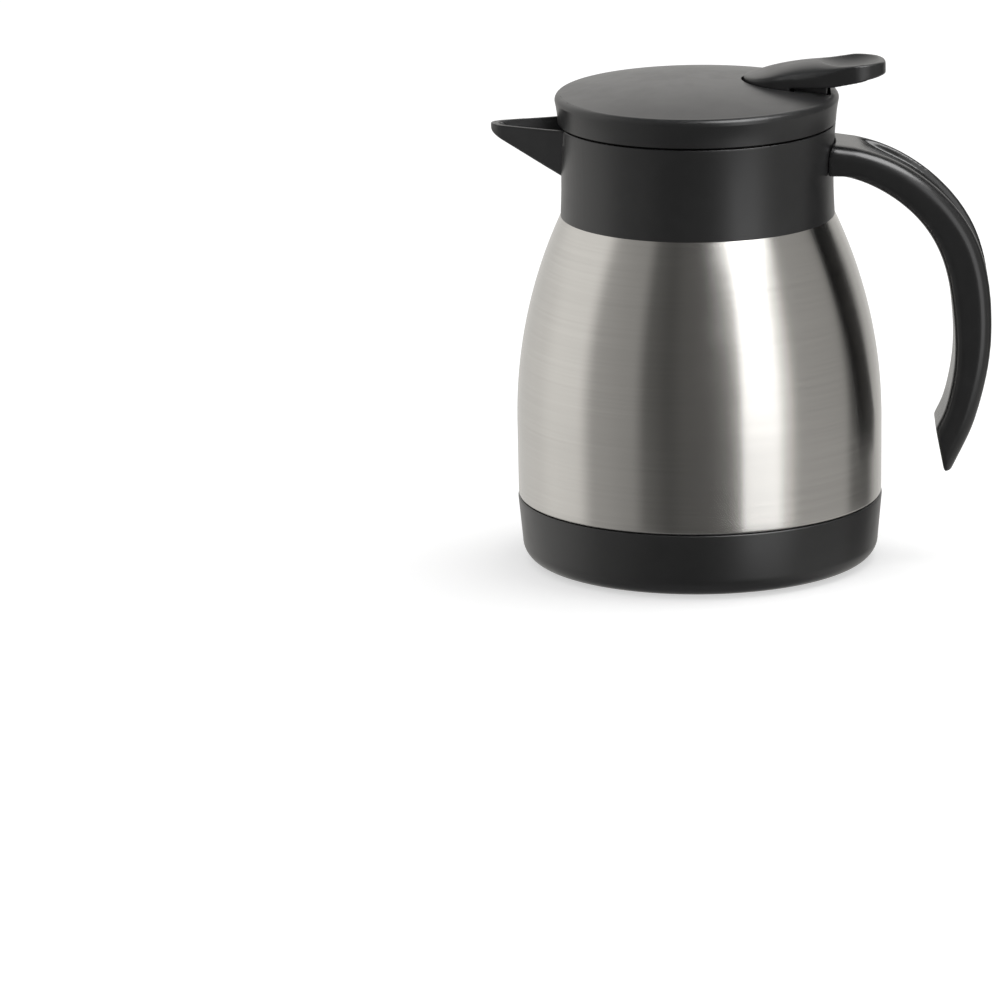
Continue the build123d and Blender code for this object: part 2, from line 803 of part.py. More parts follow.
# Gasket: band in the plug's groove with two lips towards the neck
with BuildPart() as stopper_gasket:
    band_foot = gasket_foot + seat_gap
    lip_step = gasket_height / 4
    band_radius = mouth_radius - move_gap - gasket_lip
    with BuildSketch(Plane.XZ):
        with BuildLine():
            Polyline(
                (gasket_bore, band_foot),
                (band_radius, band_foot),
                (band_radius + gasket_lip, band_foot + lip_step),
                (band_radius, band_foot + 2 * lip_step),
                (band_radius + gasket_lip, band_foot + 3 * lip_step),
                (band_radius, band_foot + gasket_height),
                (gasket_bore, band_foot + gasket_height),
                close=True,
            )
        make_face()
    revolve(axis=Axis.Z)
stopper_gasket.part.label = "stopper_gasket"
export_step(stopper_gasket.part, "parts/stopper_gasket.step")

# Valve: foot, hub, disc and stem in one piece, with its seal and the cap that the lever lifts
with BuildPart() as valve_plug:
    tip_top = cap_foot + stem_cap_bore
    with BuildSketch(Plane.XZ):
        with BuildLine():
            Polyline(
                (0, seal_foot - valve_foot_thickness),
                (valve_foot_radius, seal_foot - valve_foot_thickness),
                (valve_foot_radius, seal_foot),
                (valve_hub_radius, seal_foot),
                (valve_hub_radius, valve_foot),
                (valve_radius, valve_foot),
                (valve_radius, valve_top),
                (stem_radius, valve_top),
                (stem_radius, cap_foot),
                (stem_tip_radius, cap_foot),
                (stem_tip_radius, tip_top),
                (0, tip_top),
                close=True,
            )
        make_face()
    revolve(axis=Axis.Z)
valve_plug.part.label = "valve_plug"
export_step(valve_plug.part, "parts/valve_plug.step")

with BuildPart() as valve_seal:
    with BuildSketch(Plane.XY.offset(seal_foot)):
        Circle(valve_seal_radius)
        Circle(valve_hub_radius + pin_play, mode=Mode.SUBTRACT)
    extrude(amount=valve_seal_thickness)
valve_seal.part.label = "valve_seal"
export_step(valve_seal.part, "parts/valve_seal.step")

with BuildPart() as stem_cap:
    with BuildSketch(Plane.XY.offset(cap_foot)):
        Circle(stem_cap_radius)
    extrude(amount=stem_cap_thickness)
    fillet(stem_cap.edges().group_by(Axis.Z)[-1], stem_cap_thickness / 3)
    with BuildSketch(Plane.XY.offset(cap_foot)):
        Circle(stem_tip_radius + pin_play)
    extrude(amount=stem_cap_bore + pin_play, mode=Mode.SUBTRACT)
stem_cap.part.label = "stem_cap"
export_step(stem_cap.part, "parts/stem_cap.step")

# Valve spring: from the valve's disc to the stopper's guide
with BuildPart() as valve_spring:
    spring_foot = valve_top + spring_wire / 2 + pin_play
    spring_length = guide_foot - spring_wire / 2 - pin_play - spring_foot
    with BuildLine() as spring_path:
        Helix(
            pitch=spring_length / spring_turns,
            height=spring_length,
            radius=spring_radius,
            center=(0, 0, spring_foot),
        )
    coil = spring_path.line
    with BuildSketch(Plane(origin=coil @ 0, x_dir=(1, 0, 0), z_dir=coil % 0)):
        Circle(spring_wire / 2)
    sweep(path=coil, is_frenet=True)
valve_spring.part.label = "valve_spring"
export_step(valve_spring.part, "parts/valve_spring.step")

# Lid cap: flared skirt and shallow crown, with bosses, ears for the pin, and the lever's slot
with BuildPart() as lid_cap:
    flare_top = lid_foot + lid_flare_height
    crown_edge = lid_radius - lid_edge
    edge_height = lid_surface(crown_edge)
    edge_rise = edge_height - flare_top
    skirt_foot = lid_radius - lid_flare
    inner_edge = lid_radius - lid_wall - lid_edge / 2
    slot_length = tongue_length + 2 * lever_gap
    slot_end = post_back + 2 * lever_post_gap
    slot_half = lever_post_width / 2 + lever_post_gap
    with BuildSketch(Plane.XZ):
        with BuildLine():
            ThreePointArc(
                (skirt_foot, lid_foot),
                (lid_radius - lid_flare / 2 - lid_flare_hollow, (lid_foot + flare_top) / 2),
                (lid_radius, flare_top),
            )
            ThreePointArc(
                (lid_radius, flare_top),
                (lid_radius - lid_edge_bulge * lid_edge, edge_height - lid_edge_bulge * edge_rise),
                (crown_edge, edge_height),
            )
            ThreePointArc(
                (crown_edge, edge_height),
                (crown_edge / 2, lid_surface(crown_edge / 2)),
                (0, lid_top),
            )
            Polyline((0, lid_top), (0, lid_foot), (skirt_foot, lid_foot))
        make_face()
    revolve(axis=Axis.Z)
    with BuildSketch(Plane.XZ):
        with BuildLine():
            Polyline(
                (inner_edge, lid_surface(inner_edge, lid_wall)),
                (lid_radius - lid_wall, flare_top),
                (skirt_foot - lid_wall, lid_foot),
                (0, lid_foot),
                (0, lid_top - lid_wall),
            )
            ThreePointArc(
                (0, lid_top - lid_wall),
                (inner_edge / 2, lid_surface(inner_edge / 2, lid_wall)),
                (inner_edge, lid_surface(inner_edge, lid_wall)),
            )
        make_face()
    revolve(axis=Axis.Z, mode=Mode.SUBTRACT)
    with BuildSketch(Plane.XY.offset(lid_foot)):
        with PolarLocations(lid_boss_circle, lid_screw_count, start_angle=lid_screw_start):
            Circle(lid_boss_radius)
    extrude(amount=lid_height)
    for side in (1, -1):
        with BuildSketch(Plane.XZ.offset(side * slot_half)):
            with Locations((pivot_place, pivot_height)):
                Circle(lever_lug_half)
                Rectangle(
                    2 * lever_lug_half, lever_pivot_drop, align=(Align.CENTER, Align.MIN)
                )
        extrude(amount=side * lever_lug_thickness)
    with BuildSketch(Plane.XZ):
        with BuildLine():
            crown = ThreePointArc(
                (0, lid_top),
                (crown_edge / 2, lid_surface(crown_edge / 2)),
                (crown_edge, edge_height),
            )
            Polyline(
                crown @ 1,
                (crown_edge, lid_top + lid_height),
                (0, lid_top + lid_height),
                (0, lid_top),
            )
        make_face()
    revolve(axis=Axis.Z, mode=Mode.SUBTRACT)
    with BuildSketch(Plane.XY.offset(arm_top)):
        with Locations((tongue_tip + tongue_length / 2, 0)):
            SlotOverall(slot_length, lever_width + 2 * lever_gap)
        with Locations((post_front + 2 * lever_gap, 0)):
            Rectangle(
                slot_length, slot_length, align=(Align.MAX, Align.CENTER), mode=Mode.INTERSECT
            )
    extrude(amount=lid_top - arm_top, mode=Mode.SUBTRACT)
    with BuildSketch(Plane.XY.offset(lid_surface(slot_end, lid_wall) - cut_past)):
        with Locations((slot_end, 0)):
            Rectangle(
                slot_end - tongue_tip - lever_width / 2,
                2 * slot_half,
                align=(Align.MAX, Align.CENTER),
            )
    extrude(amount=lid_height, mode=Mode.SUBTRACT)
    with BuildSketch(Plane.XZ):
        with Locations((pivot_place, pivot_height)):
            Circle(lever_pin_radius + pin_play)
    extrude(amount=slot_half + lever_lug_thickness, both=True, mode=Mode.SUBTRACT)
    with BuildSketch(Plane.XY.offset(lid_foot)):
        with PolarLocations(lid_boss_circle, lid_screw_count, start_angle=lid_screw_start):
            Circle(screw_radius + pin_play)
    extrude(amount=lid_screw_length - deck_thickness + screw_head_height + move_gap, mode=Mode.SUBTRACT)
lid_cap.part.label = "lid_cap"
export_step(lid_cap.part, "parts/lid_cap.step")

with BuildPart() as lid_screws:
    with BuildSketch(Plane.XY.offset(deck_foot)):
        with PolarLocations(lid_boss_circle, lid_screw_count, start_angle=lid_screw_start):
            Circle(screw_head_radius)
    extrude(amount=screw_head_height)
    with BuildSketch(Plane.XY.offset(deck_foot + screw_head_height)):
        with PolarLocations(lid_boss_circle, lid_screw_count, start_angle=lid_screw_start):
            Circle(screw_radius)
    extrude(amount=lid_screw_length)
    with BuildSketch(Plane.XY.offset(deck_foot)):
        with PolarLocations(lid_boss_circle, lid_screw_count, start_angle=lid_screw_start):
            Rectangle(screw_drive_length, screw_drive_width)
            Rectangle(screw_drive_width, screw_drive_length)
    extrude(amount=screw_head_height / 2, mode=Mode.SUBTRACT)
lid_screws.part.label = "lid_screws"
export_step(lid_screws.part, "parts/lid_screws.step")

with BuildPart() as lever_pin:
    with BuildSketch(Plane.XZ):
        with Locations((pivot_place, pivot_height)):
            Circle(lever_pin_radius)
    extrude(amount=slot_half + lever_lug_thickness - move_gap, both=True)
lever_pin.part.label = "lever_pin"
export_step(lever_pin.part, "parts/lever_pin.step")

# Lever: tongue with a thumb dish, post on the pin, and forked arm under the lid
with BuildPart() as lever:
    tip_height = lid_surface(tongue_tip) + lever_tip_stand
    under = lid_surface(post_front) + lever_over_lid
    deep = lid_surface(tongue_tip) - 2 * lid_wall
    post_bend = lid_surface(post_back, lid_wall) - move_gap
    arm_foot = arm_top - lever_arm_thickness
    crown_points = [
        (tongue_tip + x * tongue_length, tip_height + z * (lever_top - tip_height))
        for x, z in lever_crown
    ]
    with BuildSketch(Plane.XZ.offset(-lever_width / 2)):
        with BuildLine():
            top_line = Spline(*crown_points)
            Polyline(
                top_line @ 1,
                (lever_reach, lever_top - lever_end_thickness),
                (crown_edge, under),
                (post_front, under),
                (post_front, deep),
                (tongue_tip + lid_wall, deep),
                (tongue_tip, deep + lid_wall),
                top_line @ 0,
            )
        make_face()
    extrude(amount=lever_width)
    with BuildSketch(Plane.XY.offset(deep)):
        with Locations((tongue_tip + tongue_length / 2, 0)):
            SlotOverall(tongue_length, lever_width)
    extrude(amount=lever_top - deep + cut_past, mode=Mode.INTERSECT)
    fillet(lever.faces().sort_by(Axis.Z)[-1].edges(), lever_edge)
    dish_sphere = (lever_dish_radius**2 + lever_dish_depth**2) / (2 * lever_dish_depth)
    dish_place = lever_reach - lever_dish_radius - 2 * lever_edge
    dish_foot = lever_top - lever_dish_drop - lever_dish_depth
    with Locations((dish_place, 0, dish_foot + dish_sphere)):
        Sphere(dish_sphere, mode=Mode.SUBTRACT)
    with BuildSketch(Plane.XZ):
        with BuildLine():
            Polyline(
                (post_front, under + lid_wall),
                (post_back, under + lid_wall),
                (post_back, post_bend),
                (pivot_place + lever_post_foot, pivot_height),
                (pivot_place - lever_post_foot, pivot_height),
                (post_front, post_bend),
                close=True,
            )
        make_face()
        with Locations((pivot_place, pivot_height)):
            Circle(lever_post_foot)
    extrude(amount=lever_post_width / 2, both=True)
    with BuildSketch(Plane.XZ):
        with BuildLine():
            Polyline(
                (pivot_place, pivot_height - lever_post_foot),
                (stem_cap_radius, arm_foot),
                (-lever_arm_end, arm_foot),
                (-lever_arm_end, arm_top - lever_fork_slope),
                (lever_fork_slope, arm_top),
                (stem_cap_radius + lever_fork_slope, arm_top),
                (tongue_tip + 2 * lid_wall, deep),
                (post_front, deep),
                (pivot_place, pivot_height),
                close=True,
            )
        make_face()
    extrude(amount=lever_arm_width / 2, both=True)
    with BuildSketch(Plane.XY.offset(arm_foot)):
        Circle(stem_radius + lever_fork_play)
        Rectangle(
            2 * lever_arm_end, 2 * (stem_radius + lever_fork_play), align=(Align.MAX, Align.CENTER)
        )
    extrude(amount=lever_arm_thickness, mode=Mode.SUBTRACT)
    with BuildSketch(Plane.XZ):
        with Locations((pivot_place, pivot_height)):
            Circle(lever_pin_radius + pin_play)
    extrude(amount=lever_width, both=True, mode=Mode.SUBTRACT)
lever.part.label = "lever"
export_step(lever.part, "parts/lever.step")
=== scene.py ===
import math

import bpy
from mathutils import Matrix, Vector


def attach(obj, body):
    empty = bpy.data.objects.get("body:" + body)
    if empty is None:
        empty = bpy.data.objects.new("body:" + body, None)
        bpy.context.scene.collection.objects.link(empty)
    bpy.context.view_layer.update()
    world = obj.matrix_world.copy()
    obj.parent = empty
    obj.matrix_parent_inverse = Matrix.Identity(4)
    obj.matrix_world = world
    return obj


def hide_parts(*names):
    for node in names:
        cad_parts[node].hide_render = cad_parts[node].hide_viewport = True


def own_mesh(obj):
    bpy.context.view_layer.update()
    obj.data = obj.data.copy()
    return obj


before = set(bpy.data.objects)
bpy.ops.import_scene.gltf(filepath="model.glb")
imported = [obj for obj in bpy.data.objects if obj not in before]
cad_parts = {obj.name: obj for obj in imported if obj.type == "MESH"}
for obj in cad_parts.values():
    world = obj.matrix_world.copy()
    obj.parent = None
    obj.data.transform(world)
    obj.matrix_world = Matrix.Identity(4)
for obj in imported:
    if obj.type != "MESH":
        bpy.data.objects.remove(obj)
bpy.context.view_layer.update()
mm = 0.001
print("frame loaded")


def deselectAll():
    if bpy.context.object and bpy.context.object.mode != "OBJECT":
        bpy.ops.object.mode_set(mode="OBJECT")
    bpy.ops.object.select_all(action="DESELECT")


# Camera: long lens at the photograph's angle, turned a little so that the carafe stands right of the middle
cameraSettings = {
    "elevation": 13.2,                  # degrees
    "distance": 2.6,                    # metres from the middle of the body
    "targetHeight": 0.075,
    "focal": 8.0764,                    # in widths of the picture
    "targetPlace": (0.69862, 0.3283),   # in the picture, from its left top corner
    "roll": 0.51,                       # degrees, picture turned to the left
}


def makeCamera(s):
    data = bpy.data.cameras.new("studioCamera")
    camera = bpy.data.objects.new("studioCamera", data)
    bpy.context.scene.collection.objects.link(camera)
    data.sensor_width = 36.0
    data.lens = s["focal"] * data.sensor_width
    data.clip_end = 50.0
    tilt, roll = math.radians(s["elevation"]), math.radians(s["roll"])
    ahead = Vector((0, math.cos(tilt), -math.sin(tilt)))
    level, upright = Vector((1, 0, 0)), Vector((0, math.sin(tilt), math.cos(tilt)))
    right = level * math.cos(roll) - upright * math.sin(roll)
    up = level * math.sin(roll) + upright * math.cos(roll)
    turned = Matrix((right, up, -ahead)).transposed()
    aside = (s["targetPlace"][0] - 0.5) / s["focal"]
    above = (0.5 - s["targetPlace"][1]) / s["focal"]
    offCentre = Vector((aside, above, -1)).rotation_difference(Vector((0, 0, -1)))
    place = Vector((0, 0, s["targetHeight"])) - ahead * s["distance"]
    camera.matrix_world = Matrix.Translation(place) @ (turned @ offCentre.to_matrix()).to_4x4()
    bpy.context.scene.camera = camera


makeCamera(cameraSettings)
print("camera placed")


# Studio: white surroundings with flags and softboxes that only glossy rays see, an overhead lamp, a pale floor
studio = {
    "diffuseLight": 0.62,       # all round, for rays that aren't glossy
    "ceilingTone": 0.16,
    "ceilingFrom": 0.66,        # height of the direction where the walls fade into the ceiling
    "ceilingTo": 0.88,
    "panelAim": (0.42, -0.28, 0.863),       # high panel in front, right of the camera
    "panelFrom": 0.93,
    "panelTo": 0.96,
    "panelTone": 9.0,
    "behindFrom": 0.3,          # depth of the direction from which a wall counts as behind the carafe
    "behindTo": 0.7,
    "backDim": -0.02,           # the wall behind is a little darker above the table's edge
    "dimFrom": -0.06,
    "dimTo": 0.05,
    "backLift": 0.52,           # and grows lighter between these heights
    "backFrom": 0.06,
    "backTo": 0.38,
    "tableFrom": -0.43,         # where the walls fade into the table, and the table into the floor
    "tableTo": -0.30,
    "floorFrom": -0.85,
    "floorTo": -0.60,
    "floorTone": 0.26,
    "lampPower": 7.0,
    "lampSize": 0.9,
    "lampPlace": (0.42, 0.18, 1.25),
    "lampAim": (0.0, 0.0, 0.06),
    "floorSize": 60.0,
    "floorDrop": 0.0002,        # keeps the floor clear of the rest pad
    "floorColor": (0.66, 0.66, 0.66),
    "floorRoughness": 0.9,
    "floorGlow": 0.54,          # that only the camera sees, so that the floor is as white as the backdrop
}
# Tones round the carafe: direction in degrees from the camera's side, positive to its right
wallTones = [
    (-180, 0.74), (-162, 0.71), (-148, 0.72), (-128, 0.79), (-104, 0.96), (-84, 0.95),
    (-70, 0.42), (-44, 0.36), (-33, 0.12), (-20, 0.085), (-8, 0.12), (6, 0.135), (17, 0.20),
    (25, 0.50), (29, 1.9), (49, 1.9), (57, 0.95), (66, 0.42), (104, 0.38),
    (114, 0.09), (132, 0.09), (148, 0.55), (165, 0.70), (180, 0.74),
]
# The same on the table below them, which only the lid's edge, the collar's foot and the cup reflect
tableTones = [
    (-180, 0.70), (-128, 0.66), (-100, 0.60), (-70, 0.42), (-40, 0.22), (-18, 0.08), (2, 0.08),
    (22, 0.10), (40, 0.12), (58, 0.55), (104, 0.60), (132, 0.58), (160, 0.60), (180, 0.70),
]
wallTints = {"warm": (1.0, 0.985, 0.955), "plain": (1.0, 1.0, 1.0)}


def mathNode(tree, operation, first, second=None, third=None):
    node = tree.nodes.new("ShaderNodeMath")
    node.operation = operation
    for socket, value in zip(node.inputs, (first, second, third)):
        if value is None:
            continue
        if isinstance(value, (int, float)):
            socket.default_value = value
        else:
            tree.links.new(value, socket)
    return node.outputs[0]


def rangeNode(tree, value, fromLow, fromHigh, toLow=0.0, toHigh=1.0):
    node = tree.nodes.new("ShaderNodeMapRange")
    node.interpolation_type = "SMOOTHSTEP"
    tree.links.new(value, node.inputs["Value"])
    for name, number in zip(("From Min", "From Max", "To Min", "To Max"),
                            (fromLow, fromHigh, toLow, toHigh)):
        node.inputs[name].default_value = number
    return node.outputs["Result"]


def mixColors(tree, factor, first, second):
    node = tree.nodes.new("ShaderNodeMix")
    node.data_type = "RGBA"
    sockets = (node.inputs[0], node.inputs[6], node.inputs[7])      # the factor and the two colours
    for socket, value in zip(sockets, (factor, first, second)):
        if isinstance(value, (int, float)):
            socket.default_value = value
        elif isinstance(value, tuple):
            socket.default_value = (*value, 1)
        else:
            tree.links.new(value, socket)
    return node.outputs[2]


def toneRamp(tree, share, tones, lift):
    # A ramp holds tones up to 1, so all of it is lifted to the brightest one afterwards
    top = max(tone for _, tone in tones)
    ramp = tree.nodes.new("ShaderNodeValToRGB")
    ramp.color_ramp.interpolation = "EASE"
    marks = ramp.color_ramp.elements
    while len(marks) > 1:
        marks.remove(marks[-1])
    for number, (direction, tone) in enumerate(tones):
        place = direction / 360 + 0.5
        tint = wallTints["warm" if tone < 1 else "plain"]
        mark = marks[0] if number == 0 else marks.new(place)
        mark.position = place
        mark.color = (*(tone / top * part for part in tint), 1)
    tree.links.new(share, ramp.inputs[0])
    lifted = tree.nodes.new("ShaderNodeVectorMath")
    lifted.operation = "SCALE"
    tree.links.new(ramp.outputs[0], lifted.inputs[0])
    tree.links.new(mathNode(tree, "MULTIPLY", lift, top), lifted.inputs["Scale"])
    return lifted.outputs[0]


def makeWorld(s):
    world = bpy.data.worlds.new("studioWorld")
    bpy.context.scene.world = world
    world.use_nodes = True
    tree = world.node_tree
    tree.nodes.clear()
    place = tree.nodes.new("ShaderNodeTexCoord")
    axes = tree.nodes.new("ShaderNodeSeparateXYZ")
    tree.links.new(place.outputs["Generated"], axes.inputs[0])
    ahead = mathNode(tree, "MULTIPLY", axes.outputs["Y"], -1.0)
    angle = mathNode(tree, "ARCTAN2", axes.outputs["X"], ahead)
    share = mathNode(tree, "MULTIPLY_ADD", angle, 0.5 / math.pi, 0.5)       # 0 to 1 all round
    behind = rangeNode(tree, axes.outputs["Y"], s["behindFrom"], s["behindTo"])
    dimmed = rangeNode(tree, axes.outputs["Z"], s["dimFrom"], s["dimTo"], 0.0, s["backDim"])
    higher = rangeNode(tree, axes.outputs["Z"], s["backFrom"], s["backTo"], 0.0, s["backLift"])
    lift = mathNode(tree, "MULTIPLY_ADD", behind, mathNode(tree, "ADD", dimmed, higher), 1.0)
    aim = tree.nodes.new("ShaderNodeVectorMath")
    aim.operation = "DOT_PRODUCT"
    aim.inputs[1].default_value = s["panelAim"]
    tree.links.new(place.outputs["Generated"], aim.inputs[0])
    ceiling = rangeNode(tree, axes.outputs["Z"], s["ceilingFrom"], s["ceilingTo"])
    panel = rangeNode(tree, aim.outputs["Value"], s["panelFrom"], s["panelTo"])
    table = rangeNode(tree, axes.outputs["Z"], s["tableFrom"], s["tableTo"], 1.0, 0.0)
    below = rangeNode(tree, axes.outputs["Z"], s["floorFrom"], s["floorTo"], 1.0, 0.0)
    reflected = toneRamp(tree, share, wallTones, lift)
    reflected = mixColors(tree, ceiling, reflected, (s["ceilingTone"],) * 3)
    reflected = mixColors(tree, panel, reflected, (s["panelTone"],) * 3)
    reflected = mixColors(tree, table, reflected, toneRamp(tree, share, tableTones, 1.0))
    reflected = mixColors(tree, below, reflected, (s["floorTone"],) * 3)
    light = tree.nodes.new("ShaderNodeLightPath")
    shiny = mathNode(tree, "MAXIMUM", light.outputs["Is Glossy Ray"], light.outputs["Is Transmission Ray"])
    tone = mixColors(tree, shiny, (s["diffuseLight"],) * 3, reflected)
    tone = mixColors(tree, light.outputs["Is Camera Ray"], tone, (1.0, 1.0, 1.0))
    background = tree.nodes.new("ShaderNodeBackground")
    output = tree.nodes.new("ShaderNodeOutputWorld")
    tree.links.new(tone, background.inputs["Color"])
    tree.links.new(background.outputs[0], output.inputs["Surface"])


def makeLamp(s):
    data = bpy.data.lights.new("overheadLamp", "AREA")
    data.shape = "DISK"
    data.size = s["lampSize"]
    data.energy = s["lampPower"]
    lamp = bpy.data.objects.new("overheadLamp", data)
    bpy.context.scene.collection.objects.link(lamp)
    lamp.location = s["lampPlace"]
    lamp.rotation_euler = (Vector(s["lampAim"]) - lamp.location).to_track_quat("-Z", "Y").to_euler()
    lamp.visible_camera = False
    lamp.visible_glossy = False


def makeFloor(s):
    deselectAll()
    bpy.ops.mesh.primitive_plane_add(size=s["floorSize"], location=(0, 0, -s["floorDrop"]))
    floor = bpy.context.object
    floor.name = "studioFloor"
    material = bpy.data.materials.new("studioFloor")
    material.use_nodes = True
    tree = material.node_tree
    shader = tree.nodes["Principled BSDF"]
    shader.inputs["Base Color"].default_value = (*s["floorColor"], 1)
    shader.inputs["Roughness"].default_value = s["floorRoughness"]
    shader.inputs["Specular IOR Level"].default_value = 0.0
    light = tree.nodes.new("ShaderNodeLightPath")
    glow = tree.nodes.new("ShaderNodeEmission")
    seen = mathNode(tree, "MULTIPLY", light.outputs["Is Camera Ray"], s["floorGlow"])
    tree.links.new(seen, glow.inputs["Strength"])
    both = tree.nodes.new("ShaderNodeAddShader")
    tree.links.new(shader.outputs[0], both.inputs[0])
    tree.links.new(glow.outputs[0], both.inputs[1])
    clear = tree.nodes.new("ShaderNodeBsdfTransparent")
    mix = tree.nodes.new("ShaderNodeMixShader")
    tree.links.new(light.outputs["Is Glossy Ray"], mix.inputs[0])
    tree.links.new(both.outputs[0], mix.inputs[1])
    tree.links.new(clear.outputs[0], mix.inputs[2])
    tree.links.new(mix.outputs[0], tree.nodes["Material Output"].inputs["Surface"])
    floor.data.materials.append(material)


makeWorld(studio)
makeLamp(studio)
makeFloor(studio)
bpy.context.scene.view_settings.view_transform = "Standard"
print("studio ready")


# Shared effects, each a node group that several finishes use
def newGroup(name, inputs, outputs):
    group = bpy.data.node_groups.new(name, "ShaderNodeTree")
    for label, value in inputs.items():
        socket = group.interface.new_socket(name=label, in_out="INPUT", socket_type="NodeSocketFloat")
        socket.default_value = value
    for label in outputs:
        group.interface.new_socket(name=label, in_out="OUTPUT", socket_type="NodeSocketFloat")
    return group, group.nodes.new("NodeGroupInput"), group.nodes.new("NodeGroupOutput")


def perMetre(tree, perMillimetre):
    return mathNode(tree, "MULTIPLY", perMillimetre, 1000.0)


def noiseNode(tree, vector, scale, detail, roughness):
    node = tree.nodes.new("ShaderNodeTexNoise")
    node.inputs["Detail"].default_value = detail
    node.inputs["Roughness"].default_value = roughness
    tree.links.new(vector, node.inputs["Vector"])
    if isinstance(scale, (int, float)):
        node.inputs["Scale"].default_value = scale
    else:
        tree.links.new(scale, node.inputs["Scale"])
    return node.outputs["Fac"]


def makeRingBrushing():
    # Fine lines round the upright axis: noise that hardly changes sideways and very quickly upwards
    sideways, streakScale = 0.9, 0.17
    tree, inside, outside = newGroup("ringBrushing", {"linesPerMm": 2.5}, ("lines", "streaks"))
    place = tree.nodes.new("ShaderNodeTexCoord")
    axes = tree.nodes.new("ShaderNodeSeparateXYZ")
    tree.links.new(place.outputs["Object"], axes.inputs[0])
    bearing = mathNode(tree, "ARCTAN2", axes.outputs["Y"], axes.outputs["X"])
    squeezed = tree.nodes.new("ShaderNodeCombineXYZ")
    for axis, operation in (("X", "COSINE"), ("Y", "SINE")):
        part = mathNode(tree, operation, bearing)
        tree.links.new(mathNode(tree, "MULTIPLY", part, sideways), squeezed.inputs[axis])
    upwards = mathNode(tree, "MULTIPLY", axes.outputs["Z"], perMetre(tree, inside.outputs["linesPerMm"]))
    tree.links.new(upwards, squeezed.inputs["Z"])
    fine = noiseNode(tree, squeezed.outputs[0], 1.0, detail=1.0, roughness=0.6)
    broad = noiseNode(tree, squeezed.outputs[0], streakScale, detail=1.0, roughness=0.5)
    tree.links.new(mathNode(tree, "SUBTRACT", fine, 0.5), outside.inputs["lines"])
    tree.links.new(mathNode(tree, "SUBTRACT", broad, 0.5), outside.inputs["streaks"])
    return tree


def makeMouldedGrain():
    # Spark-eroded grain of moulded plastic: fine even bumps over a faint orange peel
    peelScale, peelShare = 0.15, 0.5
    tree, inside, outside = newGroup("mouldedGrain", {"grainsPerMm": 3.0}, ("height", "mask"))
    place = tree.nodes.new("ShaderNodeTexCoord")
    scale = perMetre(tree, inside.outputs["grainsPerMm"])
    broader = mathNode(tree, "MULTIPLY", scale, peelScale)
    grains = noiseNode(tree, place.outputs["Object"], scale, detail=1.0, roughness=0.4)
    peel = noiseNode(tree, place.outputs["Object"], broader, detail=2.0, roughness=0.55)
    tree.links.new(mathNode(tree, "MULTIPLY_ADD", peel, peelShare, grains), outside.inputs["height"])
    tree.links.new(mathNode(tree, "SUBTRACT", peel, 0.5), outside.inputs["mask"])
    return tree


def makeHandling():
    # Faint cloudy film that wiping and handling leave, as a change of roughness and tone
    tree, inside, outside = newGroup("handling", {"sizeInMm": 18.0}, ("film",))
    place = tree.nodes.new("ShaderNodeTexCoord")
    scale = mathNode(tree, "DIVIDE", 1000.0, inside.outputs["sizeInMm"])
    clouds = noiseNode(tree, place.outputs["Object"], scale, detail=4.0, roughness=0.6)
    film = rangeNode(tree, clouds, fromLow=0.38, fromHigh=0.72, toLow=-0.5, toHigh=0.5)
    tree.links.new(film, outside.inputs["film"])
    return tree


ringBrushing = makeRingBrushing()
mouldedGrain = makeMouldedGrain()
handling = makeHandling()


def addGroup(tree, group, **values):
    node = tree.nodes.new("ShaderNodeGroup")
    node.node_tree = group
    for name, value in values.items():
        node.inputs[name].default_value = value
    return node


def around(tree, middle, *shares):
    # A number that changes about its middle by each mask times its share
    value = middle
    for mask, share in shares:
        value = mathNode(tree, "MULTIPLY_ADD", mask, share, value)
    return value


def toned(tree, color, change):
    # The colour made lighter or darker by a mask that lies about 0
    node = tree.nodes.new("ShaderNodeVectorMath")
    node.operation = "SCALE"
    node.inputs[0].default_value = color
    tree.links.new(mathNode(tree, "ADD", change, 1.0), node.inputs["Scale"])
    return node.outputs[0]


def newFinish(name):
    material = bpy.data.materials.new(name)
    material.use_nodes = True
    return material, material.node_tree, material.node_tree.nodes["Principled BSDF"]


def addBump(tree, shader, height, distance):
    bump = tree.nodes.new("ShaderNodeBump")
    bump.inputs["Distance"].default_value = distance
    bump.inputs["Strength"].default_value = 1.0
    tree.links.new(height, bump.inputs["Height"])
    tree.links.new(bump.outputs[0], shader.inputs["Normal"])


# Finishes: depths in metres, sizes in millimetres, and how far lines, grain and film change tone and roughness
steelFinish = {
    "color": (0.60, 0.588, 0.566),
    "roughness": 0.24,
    "stretch": 0.94,            # how much longer the sheen is upwards than sideways
    "stretchTurn": 0.25,
    "linesPerMm": 1.3,
    "lineDepth": 0.0000003,
    "lineTone": 0.10,
    "streakTone": 0.05,
    "lineRoughness": 0.05,
    "filmSize": 26.0,
    "filmRoughness": 0.03,
}


